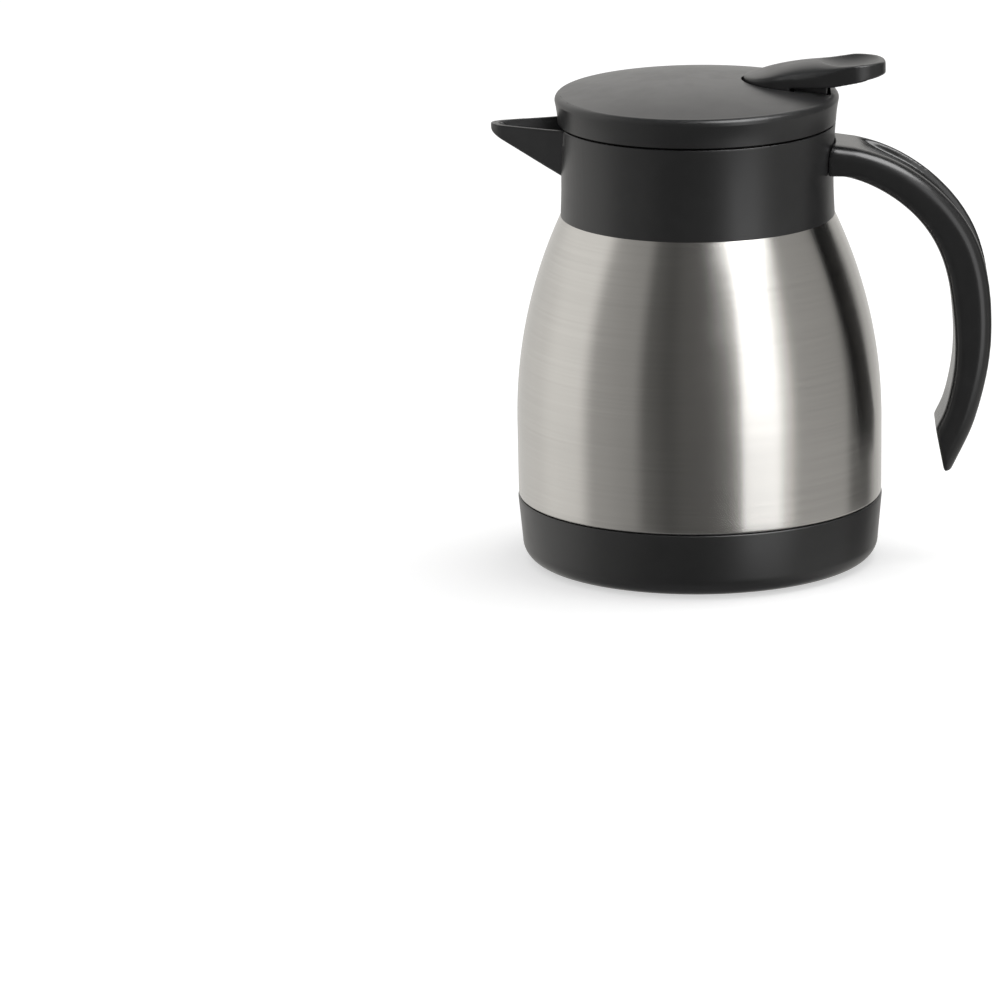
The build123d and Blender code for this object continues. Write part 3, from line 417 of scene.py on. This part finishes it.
def makeBrushedSteel(name, s, **changes):
    s = {**s, **changes}
    material, tree, shader = newFinish(name)
    brushing = addGroup(tree, ringBrushing, linesPerMm=s["linesPerMm"])
    lines, streaks = brushing.outputs["lines"], brushing.outputs["streaks"]
    film = addGroup(tree, handling, sizeInMm=s["filmSize"]).outputs["film"]
    tone = around(tree, 0.0, (lines, s["lineTone"]), (streaks, s["streakTone"]))
    tree.links.new(toned(tree, s["color"], tone), shader.inputs["Base Color"])
    rough = around(tree, s["roughness"], (lines, s["lineRoughness"]), (film, s["filmRoughness"]))
    tree.links.new(rough, shader.inputs["Roughness"])
    shader.inputs["Metallic"].default_value = 1.0
    if s["stretch"]:
        shader.inputs["Anisotropic"].default_value = s["stretch"]
        shader.inputs["Anisotropic Rotation"].default_value = s["stretchTurn"]
        tangent = tree.nodes.new("ShaderNodeTangent")
        tangent.direction_type = "RADIAL"
        tangent.axis = "Z"
        tree.links.new(tangent.outputs[0], shader.inputs["Tangent"])
    addBump(tree, shader, lines, s["lineDepth"])
    return material


plasticFinish = {
    "color": (0.0226, 0.0227, 0.0232),
    "roughness": 0.33,
    "grainsPerMm": 1.5,
    "grainDepth": 0.0000005,
    "grainTone": 0.12,
    "grainRoughness": 0.05,
    "filmSize": 14.0,
    "filmTone": 0.10,
    "filmRoughness": 0.045,
    "innerDulling": 0.0,        # added to the roughness inside a channel
}


def makeMouldedPlastic(name, s, **changes):
    s = {**s, **changes}
    material, tree, shader = newFinish(name)
    grain = addGroup(tree, mouldedGrain, grainsPerMm=s["grainsPerMm"])
    mask = grain.outputs["mask"]
    film = addGroup(tree, handling, sizeInMm=s["filmSize"]).outputs["film"]
    tone = around(tree, 0.0, (mask, s["grainTone"]), (film, s["filmTone"]))
    tree.links.new(toned(tree, s["color"], tone), shader.inputs["Base Color"])
    rough = around(tree, s["roughness"], (film, s["filmRoughness"]), (mask, s["grainRoughness"]))
    if s["innerDulling"]:
        inner = tree.nodes.new("ShaderNodeAttribute")
        inner.attribute_name = "innerSide"
        rough = mathNode(tree, "MULTIPLY_ADD", inner.outputs["Fac"], s["innerDulling"], rough)
    tree.links.new(rough, shader.inputs["Roughness"])
    addBump(tree, shader, grain.outputs["height"], s["grainDepth"])
    return material


siliconeFinish = {
    "roughness": 0.52,
    "grainsPerMm": 5.0,
    "grainDepth": 0.000008,
    "filmSize": 9.0,
    "filmTone": 0.08,
    "filmRoughness": 0.10,
    "softLight": 0.25,          # share of the light that goes into it
    "softDepth": 0.002,
}


def makeSilicone(name, s, color):
    material, tree, shader = newFinish(name)
    grain = addGroup(tree, mouldedGrain, grainsPerMm=s["grainsPerMm"])
    film = addGroup(tree, handling, sizeInMm=s["filmSize"]).outputs["film"]
    tone = around(tree, 0.0, (film, s["filmTone"]))
    tree.links.new(toned(tree, color, tone), shader.inputs["Base Color"])
    rough = around(tree, s["roughness"], (film, s["filmRoughness"]))
    tree.links.new(rough, shader.inputs["Roughness"])
    shader.inputs["Subsurface Weight"].default_value = s["softLight"]
    shader.inputs["Subsurface Scale"].default_value = s["softDepth"]
    addBump(tree, shader, grain.outputs["height"], s["grainDepth"])
    return material


metalFinish = {
    "lineDepth": 0.000004,
    "lineTone": 0.08,
    "lineRoughness": 0.10,
    "filmSize": 7.0,
    "filmTone": 0.10,
    "filmRoughness": 0.08,
}


def makeBareMetal(name, s, color, roughness, linesPerMm):
    material, tree, shader = newFinish(name)
    lines = addGroup(tree, ringBrushing, linesPerMm=linesPerMm).outputs["lines"]
    film = addGroup(tree, handling, sizeInMm=s["filmSize"]).outputs["film"]
    tone = around(tree, 0.0, (lines, s["lineTone"]), (film, s["filmTone"]))
    tree.links.new(toned(tree, color, tone), shader.inputs["Base Color"])
    rough = around(tree, roughness, (lines, s["lineRoughness"]), (film, s["filmRoughness"]))
    tree.links.new(rough, shader.inputs["Roughness"])
    shader.inputs["Metallic"].default_value = 1.0
    addBump(tree, shader, lines, s["lineDepth"])
    return material


finishes = {
    "brushedShell": makeBrushedSteel("brushedShell", steelFinish),
    "drawnSteel": makeBrushedSteel("drawnSteel", steelFinish, linesPerMm=1.6, stretch=0.0),
    "satinBlack": makeMouldedPlastic("satinBlack", plasticFinish),
    "handleBlack": makeMouldedPlastic("handleBlack", plasticFinish, roughness=0.24),
    "spoutBlack": makeMouldedPlastic("spoutBlack", plasticFinish, innerDulling=0.5),
    "innerBlack": makeMouldedPlastic("innerBlack", plasticFinish, roughness=0.46),
    "padBlack": makeMouldedPlastic("padBlack", plasticFinish, color=(0.024, 0.024, 0.024),
                                   roughness=0.62, grainDepth=0.00002),
    "greySilicone": makeSilicone("greySilicone", siliconeFinish, (0.46, 0.46, 0.44)),
    "cushionSilicone": makeSilicone("cushionSilicone", siliconeFinish, (0.30, 0.30, 0.29)),
    "springWire": makeBareMetal("springWire", metalFinish, (0.56, 0.55, 0.53), 0.26, 6.0),
    "turnedPin": makeBareMetal("turnedPin", metalFinish, (0.63, 0.62, 0.61), 0.20, 4.0),
    "screwSteel": makeBareMetal("screwSteel", metalFinish, (0.50, 0.49, 0.48), 0.34, 3.0),
    "getterMetal": makeBareMetal("getterMetal", metalFinish, (0.20, 0.20, 0.21), 0.55, 2.0),
    "brazedPlug": makeBareMetal("brazedPlug", metalFinish, (0.58, 0.52, 0.42), 0.36, 2.0),
}
# The CAD nodes that a piece below replaces have theirs too, for a look at the plain model
nodeFinishes = {
    "outer_shell": "brushedShell", "outer_bottom": "drawnSteel", "inner_liner": "drawnSteel",
    "liner_bottom": "drawnSteel", "getter": "getterMetal", "vent_plug": "brazedPlug",
    "base_cup": "satinBlack", "base_pad": "padBlack", "base_cushion": "cushionSilicone",
    "collar": "satinBlack", "neck_ring": "innerBlack", "collar_seal": "greySilicone",
    "handle": "handleBlack", "handle_screws": "screwSteel", "stopper_gasket": "greySilicone",
    "lid_cap": "satinBlack", "stopper_body": "innerBlack", "lid_screws": "screwSteel",
    "lever_pin": "turnedPin", "lever": "satinBlack", "valve_plug": "innerBlack",
    "valve_seal": "greySilicone", "stem_cap": "innerBlack", "valve_spring": "springWire",
}
for nodeName, finishName in nodeFinishes.items():
    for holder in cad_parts[nodeName].material_slots:
        holder.material = finishes[finishName]
print("finishes made")


# Modelling helpers
weldDistance = 0.000004         # in metres
nodeWeldDistance = 0.000002
poleRadius = 0.6                # innermost ring of a closed disc, in millimetres, which is then filled


def startPiece(name):
    # Names the fresh primitive, sets its place into its mesh and opens it, all of it selected
    piece = bpy.context.object
    piece.name = piece.data.name = name
    bpy.ops.object.transform_apply(location=True, rotation=True, scale=True)
    bpy.ops.object.mode_set(mode="EDIT")
    bpy.ops.mesh.select_mode(type="VERT")
    bpy.ops.mesh.select_all(action="SELECT")
    return piece


def closePiece(sharpAngle=32.0):
    # Welds, turns all faces outwards and smooths what isn't an edge
    bpy.ops.mesh.select_all(action="SELECT")
    bpy.ops.mesh.remove_doubles(threshold=weldDistance)
    bpy.ops.mesh.normals_make_consistent(inside=False)
    bpy.ops.object.mode_set(mode="OBJECT")
    bpy.ops.object.shade_smooth_by_angle(angle=math.radians(sharpAngle))


def selectWhere(piece, test):
    bpy.ops.mesh.select_all(action="DESELECT")
    bpy.ops.object.mode_set(mode="OBJECT")
    for vertex in piece.data.vertices:
        vertex.select = test(vertex.co)
    bpy.ops.object.mode_set(mode="EDIT")


def applyModifier(piece, kind, **settings):
    bpy.context.view_layer.objects.active = piece
    modifier = piece.modifiers.new(kind.lower(), kind)
    for name, value in settings.items():
        setattr(modifier, name, value)
    bpy.ops.object.modifier_apply(modifier=modifier.name)


def cutAway(piece, cutter):
    applyModifier(piece, "BOOLEAN", object=cutter, operation="DIFFERENCE", solver="EXACT")
    bpy.data.objects.remove(cutter)


def copyOfNode(nodeName, name):
    # Own welded copy of a CAD node, opened for editing
    deselectAll()
    piece = bpy.data.objects.new(name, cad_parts[nodeName].data.copy())
    bpy.context.scene.collection.objects.link(piece)
    piece.data.name = name
    piece.select_set(True)
    bpy.context.view_layer.objects.active = piece
    bpy.ops.object.mode_set(mode="EDIT")
    bpy.ops.mesh.select_mode(type="VERT")
    bpy.ops.mesh.select_all(action="SELECT")
    bpy.ops.mesh.remove_doubles(threshold=nodeWeldDistance)
    return piece


def soften(piece, s):
    # Melts the forms of a piece together and rounds all its edges, as moulding does
    applyModifier(piece, "REMESH", mode="VOXEL", voxel_size=s["voxel"] * mm)
    applyModifier(piece, "SMOOTH", factor=0.5, iterations=s["softening"])
    deselectAll()
    piece.select_set(True)
    bpy.context.view_layer.objects.active = piece
    bpy.ops.object.mode_set(mode="EDIT")
    closePiece(sharpAngle=70.0)


def turnProfile(name, rings, sides, ring=True):
    # Rings of (radius, height) in millimetres, each drawn out of the last as on a lathe.
    # The last one joins the first, or else both are filled
    deselectAll()
    radius, height = rings[0]
    bpy.ops.mesh.primitive_circle_add(vertices=sides, radius=radius * mm, location=(0, 0, height * mm))
    piece = startPiece(name)
    for nextRadius, nextHeight in rings[1:] + (rings[:1] if ring else []):
        bpy.ops.mesh.extrude_region_move(TRANSFORM_OT_translate={"value": (0, 0, (nextHeight - height) * mm)})
        grow = nextRadius / radius
        bpy.ops.transform.resize(value=(grow, grow, 1), center_override=(0, 0, nextHeight * mm))
        radius, height = nextRadius, nextHeight
    bpy.ops.mesh.select_all(action="SELECT")
    if not ring:
        bpy.ops.mesh.fill_holes(sides=0)
    closePiece()
    return piece


def cornerRings(middle, size, start, end, steps):
    # Rings round a corner: middle (radius, height), its size both ways, and angles from outwards
    angles = [math.radians(start + (end - start) * step / steps) for step in range(steps + 1)]
    return [(middle[0] + size[0] * math.cos(a), middle[1] + size[1] * math.sin(a)) for a in angles]


def finishPiece(piece, body, slot, finish, *nodes):
    piece.data.materials.clear()
    piece.data.materials.append(finishes[finish])
    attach(piece, body)
    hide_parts(*nodes)


# Flask wall: long curved side over a rolled foot, shelf for the collar, cone and neck, one sheet thick
flaskWall = {
    "widest": (58.74, 46.5),        # radius and height, in millimetres as all sizes below
    "sideCurve": 156.9,
    "shelf": (41.35, 113.0),
    "neck": (31.0, 119.5),
    "cone": [(1.0, 2.2), (0.0, 3.2)],           # outwards from the neck and upwards from the shelf
    "innerCone": [(-0.6, 2.6), (0.4, 1.6)],
    "lipBevel": 0.2,
    "footRadius": 58.6,
    "footHeight": 21.3,
    "footRoll": 0.9,
    "footTaper": 0.05,
    "sheet": 0.6,
    "skirt": [(55.773, 21.9), (54.138, 6.2), (54.738, 6.2), (56.31, 21.3)],
}


def makeFlaskWall(s):
    radius, height = s["widest"]
    shelfRadius, shelf = s["shelf"]
    neck, lip = s["neck"]
    sheet, bevel, taper = s["sheet"], s["lipBevel"], s["footTaper"]
    footRadius, foot, roll = s["footRadius"], s["footHeight"], s["footRoll"]

    def sideAt(z, inset):
        return radius - s["sideCurve"] + math.sqrt((s["sideCurve"] - inset) ** 2 - (z - height) ** 2)

    def side(fromHeight, toHeight, steps, inset):
        heights = [fromHeight + (toHeight - fromHeight) * step / steps for step in range(steps + 1)]
        return [(sideAt(z, inset), z) for z in heights]

    rings = [(footRadius - 2 * roll, foot)]
    rings += cornerRings((footRadius - taper - roll, foot + roll), (roll, roll), -90, 0, steps=6)
    rings += [(footRadius, foot + 4 * roll), (radius - taper, 0.4 * foot + 0.6 * height)]
    rings += side(height, shelf, steps=26, inset=0.0)
    rings += [(shelfRadius, shelf)]
    rings += [(neck + outwards, shelf + upwards) for outwards, upwards in s["cone"]]
    rings += [(neck, lip - bevel), (neck - bevel, lip), (neck - sheet, lip)]
    rings += [(neck + outwards, shelf + upwards) for outwards, upwards in s["innerCone"]]
    rings += [(shelfRadius, shelf - sheet)]
    rings += side(shelf - sheet, height, steps=14, inset=sheet)
    rings += [(footRadius - sheet, s["skirt"][0][1])] + s["skirt"]
    return turnProfile("flaskWall", rings, sides=192)


finishPiece(makeFlaskWall(flaskWall), "flask", "shell_steel", "brushedShell", "outer_shell")
print("flask wall turned")


# Foot of the carafe: moulded cup with a rounded heel and lip, and the rest pad let into it
footCup = {
    "topRadius": 58.75,
    "footRadius": 57.4,
    "seam": 21.2,
    "lift": 0.3,
    "heel": 6.2,                    # rounding of the lower edge
    "innerHeel": 4.3,
    "lip": 0.55,
    "wall": 2.2,
    "floor": 2.6,
    "padRecess": (46.0, 1.5),
    "recessBevel": 0.25,
}


def makeFootCup(s):
    lift, heel, lip, wall = s["lift"], s["heel"], s["lip"], s["wall"]
    recess, recessTop = s["padRecess"]
    bevel, inner = s["recessBevel"], s["innerHeel"]
    innerMiddle = (s["footRadius"] - wall - inner, lift + s["floor"] + inner)
    rings = [(poleRadius, recessTop), (recess, recessTop), (recess, lift + bevel), (recess + bevel, lift)]
    rings += cornerRings((s["footRadius"] - heel, lift + heel), (heel, heel), -90, 0, steps=14)
    rings += cornerRings((s["topRadius"] - lip, s["seam"] - lip), (lip, lip), 0, 90, steps=6)
    rings += [(s["topRadius"] - wall, s["seam"])]
    rings += cornerRings(innerMiddle, (inner, inner), 0, -90, steps=8)
    rings += [(poleRadius, lift + s["floor"])]
    return turnProfile("footCup", rings, sides=192, ring=False)


restPad = {
    "radius": 45.8,
    "thickness": 1.5,
    "edge": 0.4,
    "grooves": (10.0, 18.0, 26.0, 34.0, 41.0),      # radii of the suction grooves under it
    "grooveWidth": 1.2,
    "grooveDepth": 0.4,
    "grooveSlope": 0.2,
}


def makeRestPad(s):
    half, deep, slope, edge = s["grooveWidth"] / 2, s["grooveDepth"], s["grooveSlope"], s["edge"]
    rings = [(poleRadius, 0.0)]
    for groove in s["grooves"]:
        rings += [(groove - half - slope, 0.0), (groove - half, deep)]
        rings += [(groove + half, deep), (groove + half + slope, 0.0)]
    rings += cornerRings((s["radius"] - edge, edge), (edge, edge), -90, 0, steps=4)
    rings += cornerRings((s["radius"] - edge, s["thickness"] - edge), (edge, edge), 0, 90, steps=4)
    rings += [(poleRadius, s["thickness"])]
    return turnProfile("restPad", rings, sides=128, ring=False)


finishPiece(makeFootCup(footCup), "flask", "black_plastic", "satinBlack", "base_cup")
finishPiece(makeRestPad(restPad), "flask", "base_pad", "padBlack", "base_pad")
print("foot cup and rest pad turned")


# Valve spring: round wire wound in six even turns and cut off square
valveSpring = {
    "radius": 5.0,
    "wire": 1.0,
    "turns": 6,
    "low": 117.95,
    "high": 133.45,
    "sides": 14,
    "stepsPerTurn": 40,
}


def makeValveSpring(s):
    steps = s["stepsPerTurn"] * s["turns"]
    deselectAll()
    bpy.ops.mesh.primitive_circle_add(vertices=s["sides"], radius=s["wire"] / 2 * mm,
                                      rotation=(math.pi / 2, 0, 0),
                                      location=(s["radius"] * mm, 0, s["low"] * mm))
    spring = startPiece("valveSpring")
    bpy.ops.object.mode_set(mode="OBJECT")
    applyModifier(spring, "SCREW", angle=math.tau * s["turns"],
                  screw_offset=(s["high"] - s["low"]) * mm, steps=steps, render_steps=steps)
    bpy.ops.object.mode_set(mode="EDIT")
    bpy.ops.mesh.select_all(action="SELECT")
    bpy.ops.mesh.fill_holes(sides=0)
    closePiece(sharpAngle=50.0)
    return spring


spring = makeValveSpring(valveSpring)
finishPiece(spring, "lid", "spring_steel", "springWire", "valve_spring")
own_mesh(spring)
print("valve spring wound")


# Pouring spout: rounded V that narrows from the collar to a blunt round nose, with a channel let into it
pourSpout = {
    "root": 39.6,                   # distances from the upright axis
    "collarEdge": 44.4,
    "collarTop": 142.7,
    "edgeRounding": 0.4,            # of the collar's upper edge
    "stations": (48.0, 54.0),       # between the collar and the nose
    "tip": 65.9,
    "rimHeight": 142.7,
    "rise": 0.6,
    "rootWidth": 24.0,
    "tipWidth": 7.0,
    "rootDepth": 17.6,
    "tipDepth": 3.7,
    "upright": 0.8,                 # straight edge along the rim
    "keelRounding": 0.22,           # of the V's lower corner, as a share of its depth
    "noseRound": 3.3,
    "noseTurns": (0, 18, 34, 48, 60, 70, 79, 86),      # degrees
    "noseDeepness": 0.35,           # the nose grows narrow sooner than it grows shallow
    "wall": 2.0,
    "channelStart": 37.6,
    "channelStation": 50.0,
    "channelEnd": 61.7,
    "channelRound": 2.6,
    "channelBluntness": 0.8,        # below 1 its end stays wide for longer
    "channelAbove": 3.0,            # how far the channel's cutter stands over the rim
    "bore": 41.6,
    "boreMiddle": 130.0,
    "boreLength": 60.0,
    "voxel": 0.26,
    "softening": 7,
}


def makeSpoutBody(s, inset, stations, above):
    # Closed V section at the collar, drawn out station by station; inset makes the channel that is cut from it
    def sizeAt(distance):
        share = (distance - s["collarEdge"]) / (s["tip"] - s["collarEdge"])
        half = (s["rootWidth"] + (s["tipWidth"] - s["rootWidth"]) * share) / 2 - inset
        depth = s["rootDepth"] + (s["tipDepth"] - s["rootDepth"]) * share - inset
        return half, depth, s["rimHeight"] + s["rise"] * max(share, 0)

    # The V starts as a diamond of 1 mm without its upper corner, with the lower one rounded, and is then sized
    deselectAll()
    first, _ = stations[0]
    half, depth, rim = sizeAt(first)
    bpy.ops.mesh.primitive_circle_add(vertices=4, radius=mm, rotation=(0, math.pi / 2, 0), location=(0, 0, 0))
    body = startPiece("spoutBody")
    selectWhere(body, lambda place: place.z > 0.5 * mm)
    bpy.ops.mesh.delete(type="VERT")
    selectWhere(body, lambda place: place.z < -0.5 * mm)
    bpy.ops.mesh.bevel(offset=s["keelRounding"] * mm, segments=6, affect="VERTICES")
    bpy.ops.mesh.select_all(action="INVERT")
    bpy.ops.mesh.extrude_region_move(
        TRANSFORM_OT_translate={"value": (0, 0, (s["upright"] + above) / depth * mm)})
    bpy.ops.mesh.select_all(action="SELECT")
    bpy.ops.transform.resize(value=(1, half, depth), center_override=(0, 0, 0))
    bpy.ops.transform.translate(value=(-first * mm, 0, (rim - s["upright"]) * mm))
    bpy.ops.mesh.edge_face_add()
    last, lastHalf, lastDepth, lastRim = first, half, depth, rim
    for distance, narrowing in stations[1:]:
        half, depth, rim = sizeAt(distance)
        half, depth = half * narrowing, depth * narrowing ** s["noseDeepness"]
        bpy.ops.mesh.extrude_region_move(
            TRANSFORM_OT_translate={"value": ((last - distance) * mm, 0, (rim - lastRim) * mm)})
        bpy.ops.transform.resize(value=(1, half / lastHalf, depth / lastDepth),
                                 center_override=(0, 0, rim * mm))
        last, lastHalf, lastDepth, lastRim = distance, half, depth, rim
    closePiece()
    return body


def makePourSpout(s):
    nose, hollow = s["noseRound"], s["channelRound"]
    turns = [math.radians(angle) for angle in s["noseTurns"]]
    stations = [(distance, 1.0) for distance in (s["root"], *s["stations"])]
    stations += [(s["tip"] - nose + nose * math.sin(a), math.cos(a)) for a in turns]
    spout = makeSpoutBody(s, 0.0, stations, 0.0)
    spout.name = spout.data.name = "pourSpout"
    stations = [(distance, 1.0) for distance in (s["channelStart"], s["channelStation"])]
    stations += [(s["channelEnd"] - hollow + hollow * math.sin(a), math.cos(a) ** s["channelBluntness"])
                 for a in turns[:-1]]
    cutAway(spout, makeSpoutBody(s, s["wall"], stations, s["channelAbove"]))
    deselectAll()
    bpy.ops.mesh.primitive_cylinder_add(vertices=160, radius=s["bore"] * mm, depth=s["boreLength"] * mm,
                                        location=(0, 0, s["boreMiddle"] * mm))
    cutAway(spout, bpy.context.object)
    soften(spout, s)
    # Marks the points that face the spout's middle, for the duller finish inside
    innerSide = spout.data.attributes.new("innerSide", "FLOAT", "POINT")
    for vertex in spout.data.vertices:
        innerSide.data[vertex.index].value = vertex.normal.y * vertex.co.y < 0
    return spout


def makeCollarRing(s):
    # The collar without its plain spout, whose place the softened one takes, and with its upper edge rounded
    spoutSide, beyond, near = -20 * mm, 0.1 * mm, 0.02 * mm
    edge, top = s["collarEdge"] * mm, s["collarTop"] * mm
    ring = copyOfNode("collar", "collarRing")
    selectWhere(ring, lambda place: place.x < spoutSide and place.xy.length > edge + beyond)
    bpy.ops.mesh.delete(type="VERT")
    selectWhere(ring, lambda place: place.z > top - near and abs(place.xy.length - edge) < near)
    bpy.ops.mesh.bevel(offset=s["edgeRounding"] * mm, segments=3, affect="EDGES")
    bpy.ops.object.mode_set(mode="OBJECT")
    bpy.ops.object.shade_smooth_by_angle(angle=math.radians(32))
    return ring


finishPiece(makePourSpout(pourSpout), "flask", "black_plastic", "spoutBlack", "collar")
finishPiece(makeCollarRing(pourSpout), "flask", "black_plastic", "satinBlack", "collar")
print("spout and collar shaped")


# Handle: the CAD's bow with all its moulded edges softened
carryHandle = {"voxel": 0.48, "softening": 26}


def makeCarryHandle(s):
    handle = copyOfNode("handle", "carryHandle")
    bpy.ops.object.mode_set(mode="OBJECT")
    soften(handle, s)
    return handle


finishPiece(makeCarryHandle(carryHandle), "flask", "black_plastic", "handleBlack", "handle")
print("handle softened")


# Thumb lever: a domed blade with round ends and a scooped thumb rest, on the CAD's post and fork
thumbLever = {
    "halfWidth": 10.9,
    "tip": 15.0,                    # distances along the blade are from the upright axis
    "end": 60.45,
    "topLine": [(15.0, 157.8), (18.0, 158.5), (21.4, 159.4), (24.0, 160.2), (27.0, 161.0),
                (30.5, 161.7), (34.0, 162.2), (37.5, 162.5), (41.0, 162.6), (46.0, 162.65),
                (52.0, 162.7), (57.5, 162.7), (59.3, 162.55), (60.1, 162.2), (60.45, 161.7)],
    # how far the domed top falls away to the sides, which ends at the scoop
    "crown": [(15.2, 0.4), (20.0, 1.4), (27.0, 2.9), (33.0, 3.7), (38.0, 3.6), (42.0, 2.6),
              (46.0, 1.3), (50.0, 0.4), (55.0, 0.05)],
    "crownFacets": 12,              # on each side
    "crownClear": 0.03,             # that the dome's cut leaves above the blade's middle
    "crownCut": 4.5,                # half height of its cutter, in heights of the crown
    "crownSteps": 40,               # of 1 mm
    "underLine": [(15.0, 157.0), (51.5, 157.0), (60.45, 158.4)],
    "upperRounding": 0.2,           # as shares of the section's half height and half width
    "lowerRounding": 0.2,
    "scoop": {"place": 48.8, "radius": 9.4, "depth": 2.3, "rim": 162.45},
    "keepBelow": 157.4,             # the CAD's lever is kept up to here
    "voxel": 0.3,
    "softening": 5,
}


def heightOn(line, place):
    # The line's height at a place, straight between its points and level after the last
    for (x0, z0), (x1, z1) in zip(line, line[1:]):
        if place <= x1:
            return z0 + (z1 - z0) * (place - x0) / (x1 - x0)
    return line[-1][1]


def makeBlade(s):
    # A section with rounded corners, drawn out from the round tip to the round end, then domed and scooped
    half, tip, end, spans = s["halfWidth"], s["tip"], s["end"], 6
    turns = [math.radians(angle) for angle in range(84, -1, -6)]        # of the round ends
    widths = [(tip + half - half * math.sin(a), half * math.cos(a)) for a in turns]
    widths += [(tip + half + (end - tip - 2 * half) * step / spans, half) for step in range(1, spans)]
    widths += [(end - half + half * math.sin(a), half * math.cos(a)) for a in reversed(turns)]
    deselectAll()
    bpy.ops.mesh.primitive_plane_add(size=2 * mm, rotation=(0, math.pi / 2, 0))
    blade = startPiece("blade")
    bpy.ops.mesh.delete(type="ONLY_FACE")
    selectWhere(blade, lambda spot: spot.z > 0)
    bpy.ops.mesh.bevel(offset=s["upperRounding"] * mm, segments=8, affect="VERTICES")
    selectWhere(blade, lambda spot: spot.z < 0)
    bpy.ops.mesh.bevel(offset=s["lowerRounding"] * mm, segments=3, affect="VERTICES")
    bpy.ops.mesh.select_all(action="SELECT")
    first, wide = widths[0]
    low, high = heightOn(s["underLine"], first), heightOn(s["topLine"], first)
    bpy.ops.transform.resize(value=(1, wide, (high - low) / 2), center_override=(0, 0, 0))
    bpy.ops.transform.translate(value=(first * mm, 0, (low + high) / 2 * mm))
    bpy.ops.mesh.edge_face_add()
    last = (first, wide, low, high)
    for place, wide in widths[1:]:
        low, high = heightOn(s["underLine"], place), heightOn(s["topLine"], place)
        lastPlace, lastWide, lastLow, lastHigh = last
        rise = (low + high - lastLow - lastHigh) / 2
        bpy.ops.mesh.extrude_region_move(
            TRANSFORM_OT_translate={"value": ((place - lastPlace) * mm, 0, rise * mm)})
        bpy.ops.transform.resize(value=(1, wide / lastWide, (high - low) / (lastHigh - lastLow)),
                                 center_override=(0, 0, (low + high) / 2 * mm))
        last = (place, wide, low, high)
    closePiece()
    cutAway(blade, makeCrownCutter(s))
    scoop = s["scoop"]
    ball = (scoop["radius"] ** 2 + scoop["depth"] ** 2) / (2 * scoop["depth"])     # radius of the scooping ball
    ballPlace = (scoop["place"] * mm, 0, (scoop["rim"] - scoop["depth"] + ball) * mm)
    deselectAll()
    bpy.ops.mesh.primitive_uv_sphere_add(segments=128, ring_count=96, radius=ball * mm, location=ballPlace)
    cutAway(blade, bpy.context.object)
    return blade


def makeCrownCutter(s):
    # All that is above the dome: half an ellipse below and a flat top, drawn out along the blade
    facets, clear, tall = s["crownFacets"], s["crownClear"], s["crownCut"]
    reach = facets + 1              # one facet wider than the blade on each side

    def widthAt(place):
        return math.sqrt(s["halfWidth"] ** 2 - max(0.0, s["tip"] + s["halfWidth"] - place) ** 2)

    start, crown = s["crown"][0]
    place, wide, top = start, widthAt(start), heightOn(s["topLine"], start)
    deselectAll()
    bpy.ops.mesh.primitive_plane_add(size=2 * mm, rotation=(0, math.pi / 2, 0))
    cutter = startPiece("crownCutter")
    bpy.ops.mesh.delete(type="ONLY_FACE")
    bpy.ops.mesh.select_all(action="SELECT")
    bpy.ops.transform.resize(value=(1, reach / facets, tall), center_override=(0, 0, 0))
    bpy.ops.transform.translate(value=(0, 0, tall * mm))
    selectWhere(cutter, lambda spot: spot.z < mm)
    bpy.ops.mesh.subdivide(number_cuts=2 * reach - 1)
    fallen = 0.0
    for step in range(1, reach + 1):
        fall = 1 - math.sqrt(max(0.0, 1 - (step / facets) ** 2))
        selectWhere(cutter, lambda spot: spot.z < mm and abs(spot.y) > (step - 0.5) / facets * mm)
        bpy.ops.transform.translate(value=(0, 0, (fallen - fall) * mm))
        fallen = fall
    bpy.ops.mesh.select_all(action="SELECT")
    bpy.ops.transform.resize(value=(1, wide, crown), center_override=(0, 0, 0))
    bpy.ops.transform.translate(value=(place * mm, 0, (top + clear) * mm))
    bpy.ops.mesh.edge_face_add()
    for step in range(1, s["crownSteps"] + 1):
        nextPlace = start + step
        nextWide, nextCrown = widthAt(nextPlace), heightOn(s["crown"], nextPlace)
        nextTop = heightOn(s["topLine"], nextPlace)
        bpy.ops.mesh.extrude_region_move(
            TRANSFORM_OT_translate={"value": ((nextPlace - place) * mm, 0, (nextTop - top) * mm)})
        bpy.ops.transform.resize(value=(1, nextWide / wide, nextCrown / crown),
                                 center_override=(0, 0, (nextTop + clear) * mm))
        place, wide, crown, top = nextPlace, nextWide, nextCrown, nextTop
    closePiece()
    return cutter


def makeThumbLever(s):
    block = 0.2
    lever = copyOfNode("lever", "thumbLever")
    bpy.ops.object.mode_set(mode="OBJECT")
    deselectAll()
    bpy.ops.mesh.primitive_cube_add(size=block, location=(0, 0, block / 2 + s["keepBelow"] * mm))
    cutAway(lever, bpy.context.object)
    blade = makeBlade(s)
    deselectAll()
    blade.select_set(True)
    lever.select_set(True)
    bpy.context.view_layer.objects.active = lever
    bpy.ops.object.join()
    soften(lever, s)
    return lever


finishPiece(makeThumbLever(thumbLever), "lever", "black_plastic", "satinBlack", "lever")
print("thumb lever shaped")
